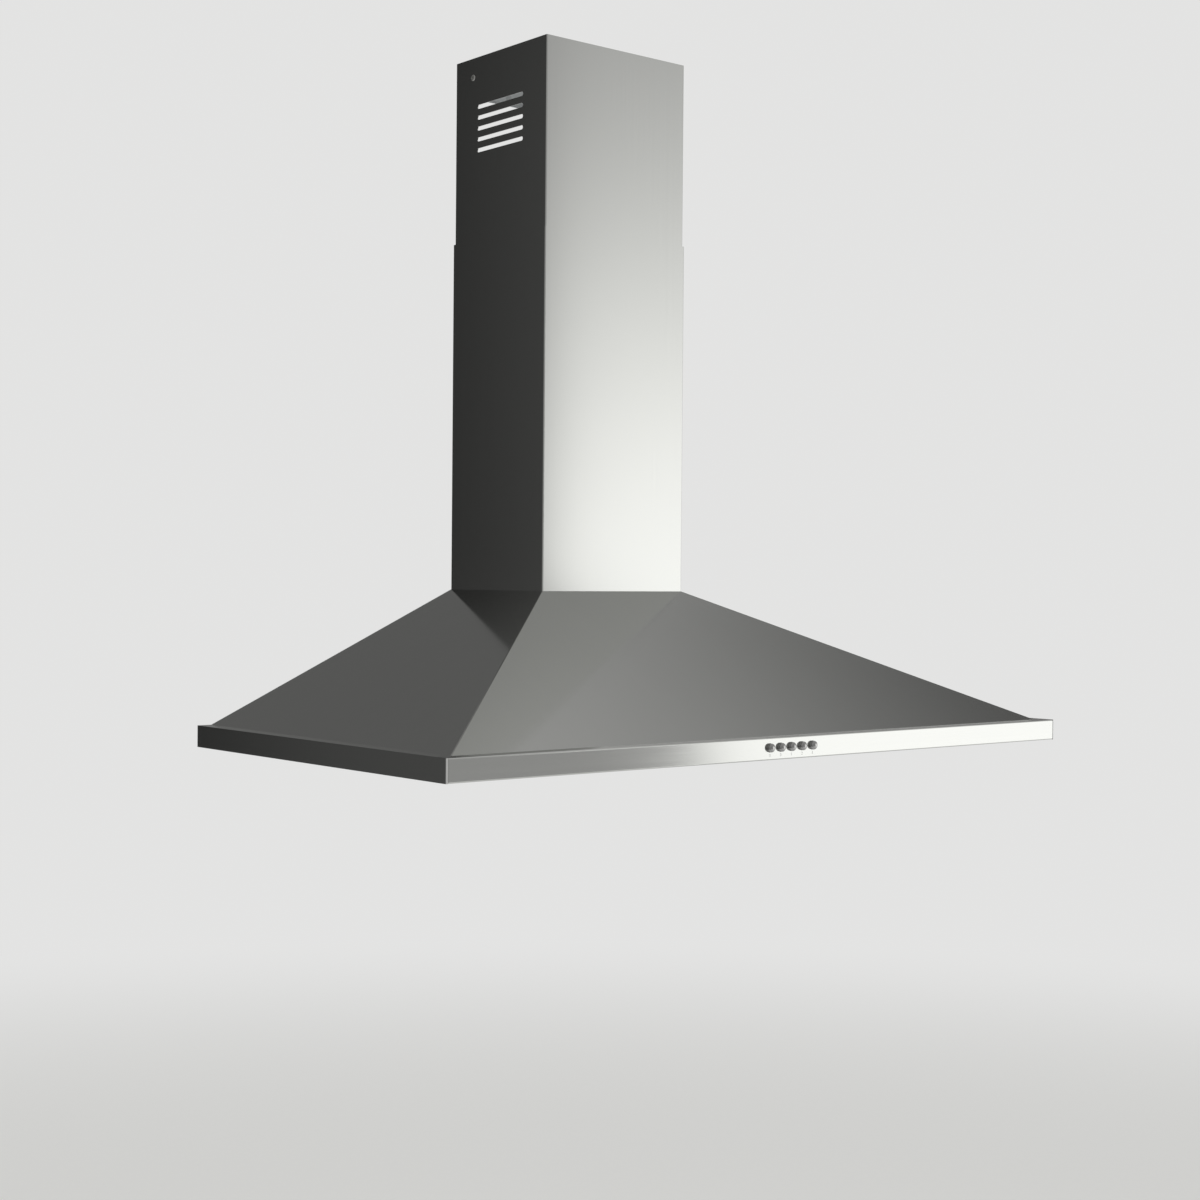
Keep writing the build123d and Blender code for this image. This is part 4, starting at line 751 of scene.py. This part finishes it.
class RANGEHOOD_OT_filters(Operator):
    """Weave the grease filters' layers of expanded aluminium mesh"""

    bl_idname = "rangehood.filters"
    bl_label = "Filter mesh"

    def execute(self, context):
        settings = context.scene.hood_filter
        for side in SIDES:
            low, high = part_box(f"filter_mesh_{side}")
            for layer in range(settings.layers):
                share = layer / max(1, settings.layers - 1)
                height = low.z + settings.sheet + share * (high.z - low.z - 2 * settings.sheet)
                solid = self.net(low, high, height, layer, settings)
                piece = keep(
                    solid, f"filter_net_{side}_{layer + 1}",
                    bpy.data.materials["mesh_aluminium"], f"filter_{side}", "mesh_aluminium",
                    smooth=20.0,
                )
                if layer == 0:
                    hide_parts(f"filter_mesh_{side}")
        return {"FINISHED"}

    @staticmethod
    def net(low, high, height, layer, settings):
        """One sheet of diamonds, shifted and stretched a little from layer to layer."""
        wide = settings.diamond_width * (1 - LAYER_SQUEEZE * (layer % 2))
        deep = settings.diamond_depth * (1 - LAYER_SQUEEZE * (layer % 2))
        count = int((high.x - low.x) / wide + (high.y - low.y) / deep) + 4
        solid = bmesh.new()
        bmesh.ops.create_grid(solid, x_segments=count, y_segments=count, size=count / 2)
        turn = Matrix.Rotation(math.pi / 4, 3, "Z")
        bmesh.ops.rotate(solid, cent=(0, 0, 0), matrix=turn, verts=solid.verts)
        root = math.sqrt(2)
        bmesh.ops.scale(solid, vec=(wide / root, deep / root, 1), verts=solid.verts)
        middle = (low + high) / 2
        aside = layer * wide * LAYER_SHIFT[0]
        onward = layer * deep * LAYER_SHIFT[1]
        shift = Vector((middle.x + aside, middle.y + onward, height))
        bmesh.ops.translate(solid, vec=shift, verts=solid.verts)
        for corner, way in ((low, -1), (high, 1)):
            for normal in ((way, 0, 0), (0, way, 0)):
                geometry = solid.verts[:] + solid.edges[:] + solid.faces[:]
                bmesh.ops.bisect_plane(
                    solid, geom=geometry, plane_co=corner, plane_no=normal, clear_outer=True,
                    dist=MERGE / 10,
                )
        whole = solid.faces[:]
        bmesh.ops.inset_individual(
            solid, faces=whole, thickness=settings.strand / 2, use_even_offset=True,
        )
        bmesh.ops.delete(solid, geom=whole, context="FACES")
        bmesh.ops.solidify(solid, geom=solid.faces[:], thickness=settings.sheet)
        return solid


class RANGEHOOD_OT_lamps(Operator):
    """Make each lamp's rounded chrome ring and its ribbed lens"""

    bl_idname = "rangehood.lamps"
    bl_label = "Lamps"

    def execute(self, context):
        for side in SIDES:
            low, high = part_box(f"lamp_bezel_{side}")
            centre = spin_centre(f"lamp_bezel_{side}")
            centre.z = low.z
            outer = (high.x - low.x) / 2
            upstand = high.z - low.z
            skirt = LAMP_HOLE_RADIUS - RING_CLEARANCE
            bore = skirt - RING_WALL
            lip = bore - RING_LIP
            solid = bmesh.new()
            turned(
                solid,
                [
                    (lip, 0.75 * MM), (lip + 0.3 * MM, 0.35 * MM), (lip + 1.1 * MM, 0.08 * MM),
                    (lip + 2.2 * MM, 0.0), (outer - 1.6 * MM, 0.0), (outer - 0.6 * MM, 0.18 * MM),
                    (outer - 0.12 * MM, 0.55 * MM), (outer, RING_FLANGE), (skirt, RING_FLANGE),
                    (skirt, upstand), (bore, upstand), (bore, RING_FLANGE), (lip, RING_FLANGE),
                    (lip, 0.75 * MM),
                ],
                centre, (0, 0, 1), 96,
            )
            keep(
                solid, f"lamp_ring_{side}", bpy.data.materials["chrome_cap"], "hood",
                "chrome_cap", f"lamp_bezel_{side}",
            )
            self.lens(side)
        return {"FINISHED"}

    @staticmethod
    def lens(side):
        """A disc that is smooth below and has rings of ribs above."""
        low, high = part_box(f"lamp_lens_{side}")
        centre = spin_centre(f"lamp_lens_{side}")
        centre.z = low.z
        radius = (high.x - low.x) / 2
        top = high.z - low.z
        profile = [
            (0.0, 0.0), (radius - LENS_ROUND, 0.0), (radius, LENS_ROUND),
            (radius, top - LENS_ROUND),
        ]
        ribbed = radius - LENS_INSET
        for rib in range(LENS_RIBS, 0, -1):
            edge = ribbed * rib / LENS_RIBS
            inner = ribbed * (rib - LENS_RIB_SHARE) / LENS_RIBS
            profile += [(edge, top), (inner, top - LENS_RIB_HEIGHT)]
        profile.append((0.0, top - 0.2 * MM))
        solid = bmesh.new()
        turned(solid, profile, centre, (0, 0, 1), 96)
        keep(
            solid, f"lamp_glass_{side}", bpy.data.materials["lens_glass"], "hood", "lens_glass",
            f"lamp_lens_{side}",
        )


class RANGEHOOD_OT_screws(Operator):
    """Make every screw with a cross recess in its head and a ridged shank"""

    bl_idname = "rangehood.screws"
    bl_label = "Screws"

    def execute(self, context):
        for node, body, sunk in (
            ("pan_head_screws", "hood", False), ("countersunk_screws", "hood", True),
            ("duct_cover_screws", "upper_duct", False),
        ):
            screws = bmesh.new()
            for corners in self.separate(node):
                self.add_screw(screws, corners, sunk)
            keep(
                screws, f"{node}_crossed", bpy.data.materials["zinc_screw"], body, "zinc_screw",
                node, smooth=40.0,
            )
        return {"FINISHED"}

    @staticmethod
    def separate(node):
        """The corners of each screw of a node, screw by screw."""
        solid = bmesh.new()
        solid.from_mesh(frame["nodes"][node].data)
        bmesh.ops.remove_doubles(solid, verts=solid.verts, dist=MERGE)
        waiting = set(solid.verts)
        screws = []
        while waiting:
            heap = [waiting.pop()]
            found = []
            while heap:
                corner = heap.pop()
                found.append(corner.co.copy())
                near = {edge.other_vert(corner) for edge in corner.link_edges} & waiting
                waiting -= near
                heap += near
            screws.append(found)
        solid.free()
        if not screws:
            raise RuntimeError(f"{node} holds no screw")
        return screws

    def add_screw(self, screws, corners, sunk):
        """Turn one screw where the CAD's screw stands, cut its recess and add it to the rest."""
        low, high = (
            Vector([pick(corner[axis] for corner in corners) for axis in range(3)])
            for pick in (min, max)
        )
        spans = high - low
        axis = max(range(3), key=lambda number: spans[number])
        middle = (low + high) / 2
        rings = []
        for corner in corners:
            offset = corner - middle
            offset[axis] = 0.0
            rings.append((offset.length, corner[axis]))
        head, face = max(rings)
        tip = max((low[axis], high[axis]), key=lambda end: abs(end - face))
        face = low[axis] + high[axis] - tip
        shank = max(radius for radius, place in rings if abs(place - tip) < SAME_RING)
        length = spans[axis]
        seat = min(
            abs(place - face) for radius, place in rings if abs(radius - shank) < SAME_RING
        )
        if sunk:
            profile = [(0.0, 0.0), (head - 0.15 * MM, 0.0), (head, 0.06 * MM), (shank, seat)]
        else:
            profile = [(head * out, seat * down) for out, down in PAN_HEAD] + [(shank, seat)]
        root = shank - SCREW_RIDGE_HEIGHT
        pitch = (length - seat) / (SCREW_RIDGES + 1)
        for ridge in range(SCREW_RIDGES):
            start = seat + pitch * (ridge + 0.4)
            profile += [(shank, start), (root, start + pitch * 0.5)]
        profile += [(root, length - SCREW_TIP), (0.6 * shank, length), (0.0, length)]
        solid = bmesh.new()
        turned(solid, profile, Vector(), (0, 0, 1), 32)
        self.cut_recess(solid, head * RECESS_REACH, RECESS_HALF_SLOT, RECESS_DEPTH)
        way = Vector()
        way[axis] = math.copysign(1.0, tip - face)
        middle[axis] = face
        turn = Vector((0, 0, 1)).rotation_difference(way).to_matrix().to_4x4()
        bmesh.ops.transform(solid, matrix=Matrix.Translation(middle) @ turn, verts=solid.verts)
        passing = bpy.data.meshes.new("screw")
        solid.to_mesh(passing)
        solid.free()
        screws.from_mesh(passing)
        bpy.data.meshes.remove(passing)

    @staticmethod
    def looks_down(face, depth):
        """Whether a face belongs to the head's outer side, no deeper than given."""
        return face.normal.z < -0.7 and face.calc_center_median().z < depth

    def cut_recess(self, solid, reach, half_slot, depth):
        """Sink a tapered cross into the head, whose outer face looks down."""
        bmesh.ops.recalc_face_normals(solid, faces=solid.faces)
        for across in ((1, 0, 0), (0, 1, 0)):
            for distance in (-reach, -half_slot, half_slot, reach):
                faces = [face for face in solid.faces if self.looks_down(face, depth)]
                geometry = {part for face in faces for part in (face, *face.edges, *face.verts)}
                bmesh.ops.bisect_plane(
                    solid, geom=list(geometry), plane_co=Vector(across) * distance,
                    plane_no=across, dist=MERGE,
                )
        cross = []
        for face in solid.faces:
            middle = face.calc_center_median()
            short, long = sorted((abs(middle.x), abs(middle.y)))
            if self.looks_down(face, depth / 2) and short < half_slot and long < reach:
                cross.append(face)
        sunken = bmesh.ops.extrude_face_region(solid, geom=cross)["geom"]
        bmesh.ops.delete(solid, geom=[face for face in cross if face.is_valid], context="FACES")
        floor = [part for part in sunken if isinstance(part, bmesh.types.BMVert)]
        for corner in floor:
            corner.co = Vector((corner.co.x * RECESS_TAPER, corner.co.y * RECESS_TAPER, depth))


class RANGEHOOD_OT_springs(Operator):
    """Fold each latch's spring from two strips, which pass each other as the latch slides back"""

    bl_idname = "rangehood.springs"
    bl_label = "Latch springs"

    def execute(self, context):
        for side in SIDES:
            low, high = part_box(f"latch_spring_{side}")
            centre = spin_centre(f"latch_spring_{side}")
            half_width = (high.x - low.x) / 2
            reach = high.y - low.y - LATCH_TRAVEL
            layer = (high.z - low.z - SPRING_LAYER_GAP) / 2
            for body, start, base in (
                (f"latch_{side}", low.y, low.z),
                (f"filter_{side}", high.y - reach, high.z - layer),
            ):
                strip = self.fold(centre.x, half_width, start, reach, base, layer)
                piece = keep(
                    strip, f"{body}_spring", bpy.data.materials["plain_steel"], body,
                    "plain_steel",
                )
                if base == low.z:
                    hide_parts(f"latch_spring_{side}")
        return {"FINISHED"}

    @staticmethod
    def fold(middle, half_width, start, reach, base, height):
        """One strip on edge that runs from side to side, with round turns between the runs."""
        pitch = (reach - SPRING_STRIP) / (SPRING_RUNS - 1)
        straight = half_width - (pitch + SPRING_STRIP) / 2
        path = []
        for run in range(SPRING_RUNS):
            way = 1 if run % 2 == 0 else -1
            line = start + SPRING_STRIP / 2 + run * pitch + way * SPRING_STRIP / 2
            path += [(middle - way * straight, line), (middle + way * straight, line)]
            if run < SPRING_RUNS - 1:
                radius = (pitch - way * SPRING_STRIP) / 2
                for step in range(1, SPRING_TURN_STEPS):
                    angle = math.pi * step / SPRING_TURN_STEPS
                    path.append((
                        middle + way * (straight + radius * math.sin(angle)),
                        line + radius * (1 - math.cos(angle)),
                    ))
        solid = bmesh.new()
        _, edges = open_path(solid, [(x, y, base) for x, y in path])
        raised = bmesh.ops.extrude_edge_only(solid, edges=edges)["geom"]
        tops = [part for part in raised if isinstance(part, bmesh.types.BMVert)]
        bmesh.ops.translate(solid, vec=(0, 0, height), verts=tops)
        bmesh.ops.solidify(solid, geom=solid.faces[:], thickness=SPRING_STRIP)
        return solid


# ---- operators: the stage ----
class RANGEHOOD_OT_camera(Operator):
    """Stand the camera where the hood is seen from below its middle, front left"""

    bl_idname = "rangehood.camera"
    bl_label = "Camera"

    def execute(self, context):
        yaw, pitch, roll = CAMERA_TURN
        level = math.cos(pitch)
        ahead = Vector((math.sin(yaw) * level, math.cos(yaw) * level, math.sin(pitch)))
        right = Vector((math.cos(yaw), -math.sin(yaw), 0.0))
        up = right.cross(ahead)
        aside = math.cos(roll) * right + math.sin(roll) * up
        upward = math.cos(roll) * up - math.sin(roll) * right
        lens = bpy.data.cameras.new("camera")
        lens.sensor_width = 36.0
        lens.lens = CAMERA_LENS
        lens.clip_start, lens.clip_end = 0.01, 100.0
        camera = bpy.data.objects.new("camera", lens)
        turn = Matrix((aside, upward, -ahead)).transposed().to_4x4()
        camera.matrix_world = Matrix.Translation(CAMERA_PLACE) @ turn
        context.scene.collection.objects.link(camera)
        context.scene.camera = camera
        return {"FINISHED"}


class RANGEHOOD_OT_stage(Operator):
    """Lay the pale floor, and light the hood as in a room with windows at the front"""

    bl_idname = "rangehood.stage"
    bl_label = "Stage"

    def execute(self, context):
        stage = context.scene.hood_stage
        self.floor(context, stage)
        self.room(context, stage)
        self.key(context, stage)
        context.scene.view_settings.view_transform = "Standard"
        return {"FINISHED"}

    @staticmethod
    def floor(context, stage):
        """A wide disc whose edge melts into the background."""
        solid = bmesh.new()
        bmesh.ops.create_circle(solid, cap_ends=True, radius=FLOOR_RADIUS, segments=96)
        bmesh.ops.translate(solid, vec=(0, FLOOR_CENTRE, -stage.floor_drop), verts=solid.verts)
        mesh = bpy.data.meshes.new("floor")
        solid.to_mesh(mesh)
        solid.free()
        floor = bpy.data.objects.new("floor", mesh)
        context.scene.collection.objects.link(floor)
        material, shader, surface = new_finish(
            "pale_floor", Roughness=0.9, Specular_IOR_Level=0.1,
        )
        place = shader.place()
        speck = shader.noise(place, 30.0, 4.0, 0.6)
        darker, lighter = shade(stage.floor_colour, 0.985), shade(stage.floor_colour, 1.01)
        feed(shader, surface, Base_Color=shader.mix(speck, darker, lighter))
        x, y, _ = shader.split(place)
        ahead = y - FLOOR_CENTRE
        far = (x * x + ahead * ahead).over(*FLOOR_FADE)
        glow = shader.node(
            "ShaderNodeEmission", {}, {"Color": opaque(stage.background), "Strength": 1.0},
        )
        output = material.node_tree.nodes["Material Output"]
        blended = shader.node("ShaderNodeMixShader", {}, {0: far, 2: glow})
        shader.tree.links.new(surface.outputs[0], blended.socket.node.inputs[1])
        shader.tree.links.new(blended.socket, output.inputs["Surface"])
        mesh.materials.append(material)
        floor.visible_glossy = False

    @staticmethod
    def room(context, stage):
        """The camera sees a pale background; metal and glass mirror a soft room with windows."""
        world = bpy.data.worlds.new("room")
        world.use_nodes = True
        context.scene.world = world
        shader = Shader(world.node_tree)
        backdrop = world.node_tree.nodes["Background"]
        x, y, z = shader.split(shader.place("Generated"))
        # Bearings in degrees: 0 is straight out of the wall, 90 to the right, -90 to the left.
        # Heights are the upward parts of the directions.
        bearing = shader.node("ShaderNodeMath", {"operation": "ARCTAN2"}, {0: x, 1: y * -1.0})
        bearing = bearing * (180.0 / math.pi)
        # Level with the hood, the left wall is dark, and darker next to the hood's own wall. The
        # room in front is lighter, and the right wall is dim.
        left = (bearing + z.over(-0.08, 0.0, 7.0, 0.0)).over(-147.0, -139.0, 0.030, 0.084)
        front = bearing.over(-100.0, -60.0, 0.0, 0.305)
        low = left + front - bearing.over(66.0, 80.0, 0.0, 0.19)
        # Above, the left wall is dark, the room in front is lighter, and the right wall is dim
        # at first and lighter towards the ceiling.
        leftward = bearing.over(-60.0, -100.0)
        left = z.over(0.455, 0.50, 0.025, 0.14)
        front = bearing.over(90.0, 106.0, 0.47, 0.08) + bearing.over(128.0, 150.0, 0.0, 0.052)
        ceiling = z.over(0.51, 0.75, 0.0, 0.40) * bearing.over(88.0, 106.0)
        # A lit shelf slants along the right wall, which the rim's narrow ledge mirrors.
        shelf = z - (bearing - 117.0) * 0.0147
        shelf = shelf.over(0.40, 0.44, 0.0, 0.48) * shelf.over(0.56, 0.49)
        shelf = shelf * (bearing.over(104.0, 111.0) * bearing.over(142.0, 130.0))
        high = front * (1.0 - leftward) + left * leftward + ceiling + shelf
        rise = z.over(0.20, 0.42)
        room = low * (1.0 - rise) + high * rise
        # The window's left edge slants: it stands further right where it is lower, and again
        # further right near the ceiling, where it is softer too.
        edge = bearing - z.over(0.01, -0.09, 0.0, 4.7) - z.over(0.45, 0.60, 0.0, 18.0)
        pane = edge.over(37.0, z.over(0.45, 0.60, 38.6, 42.0)) * edge.over(90.0, 78.0)
        light = (
            z.over(-0.03, 0.33, stage.window, stage.window * 0.34)
            + z.over(0.64, 0.72, 0.0, stage.window * 0.09)
        )
        room = room * (1.0 - pane) + light * pane
        # Below lies a floor that is dark on the left, and evenly lit straight down.
        ground = z.over(-0.14, -0.42)
        deep = z.over(-0.42, -0.60)
        floor = bearing.over(-40.0, 36.0, 0.12, 0.95) * (1.0 - deep) + deep * 0.68
        room = room * (1.0 - ground) + ground * floor
        rays = shader.node("ShaderNodeLightPath").socket.node.outputs
        seen, glossy, through = (
            Signal(shader, rays[kind])
            for kind in ("Is Camera Ray", "Is Glossy Ray", "Is Transmission Ray")
        )
        mirrored = glossy + through
        level = room * mirrored + stage.fill * (1.0 - mirrored)
        grey = shader.join(level, level, level * 0.985)
        colour = shader.mix(seen, grey, stage.background)
        shader.tree.links.new(colour.socket, backdrop.inputs["Color"])
        backdrop.inputs["Strength"].default_value = 1.0

    @staticmethod
    def key(context, stage):
        """A large soft lamp, high on the front right."""
        lamp = bpy.data.lights.new("key", "AREA")
        lamp.shape = "RECTANGLE"
        lamp.size, lamp.size_y = KEY_SIZE, KEY_SIZE
        lamp.energy = stage.key
        holder = bpy.data.objects.new("key", lamp)
        spot = Vector(KEY_PLACE)
        aim = Vector(KEY_AIM) - spot
        turn = aim.to_track_quat("-Z", "Y").to_matrix().to_4x4()
        holder.matrix_world = Matrix.Translation(spot) @ turn
        context.scene.collection.objects.link(holder)
        holder.visible_glossy = False


class RANGEHOOD_PT_sidebar(Panel):
    """Lists the steps that dress the range hood"""

    bl_label = "Range hood"
    bl_idname = "RANGEHOOD_PT_sidebar"
    bl_space_type = "VIEW_3D"
    bl_region_type = "UI"
    bl_category = "Range hood"

    def draw(self, context):
        column = self.layout.column()
        for step in STEPS:
            column.operator(step.bl_idname)
        for group, settings in SETTINGS.items():
            for name in settings.__annotations__:
                column.prop(getattr(context.scene, group), name)


STEPS = (
    RANGEHOOD_OT_camera, RANGEHOOD_OT_finishes, RANGEHOOD_OT_buttons, RANGEHOOD_OT_marks,
    RANGEHOOD_OT_filters, RANGEHOOD_OT_lamps, RANGEHOOD_OT_screws, RANGEHOOD_OT_springs,
    RANGEHOOD_OT_stage,
)
SETTINGS = {
    "hood_steel": HoodSteelSettings, "hood_part": HoodPartSettings,
    "hood_filter": HoodFilterSettings, "hood_stage": HoodStageSettings,
}


def register():
    for group, settings in SETTINGS.items():
        bpy.utils.register_class(settings)
        setattr(bpy.types.Scene, group, PointerProperty(type=settings))
    for step in STEPS:
        bpy.utils.register_class(step)
    bpy.utils.register_class(RANGEHOOD_PT_sidebar)


def unregister():
    bpy.utils.unregister_class(RANGEHOOD_PT_sidebar)
    for step in reversed(STEPS):
        bpy.utils.unregister_class(step)
    for group, settings in SETTINGS.items():
        delattr(bpy.types.Scene, group)
        bpy.utils.unregister_class(settings)


def main():
    """Dress the hood, step by step."""
    register()
    for step in STEPS:
        family, name = step.bl_idname.split(".")
        getattr(getattr(bpy.ops, family), name)()


if __name__ == "__main__":
    main()
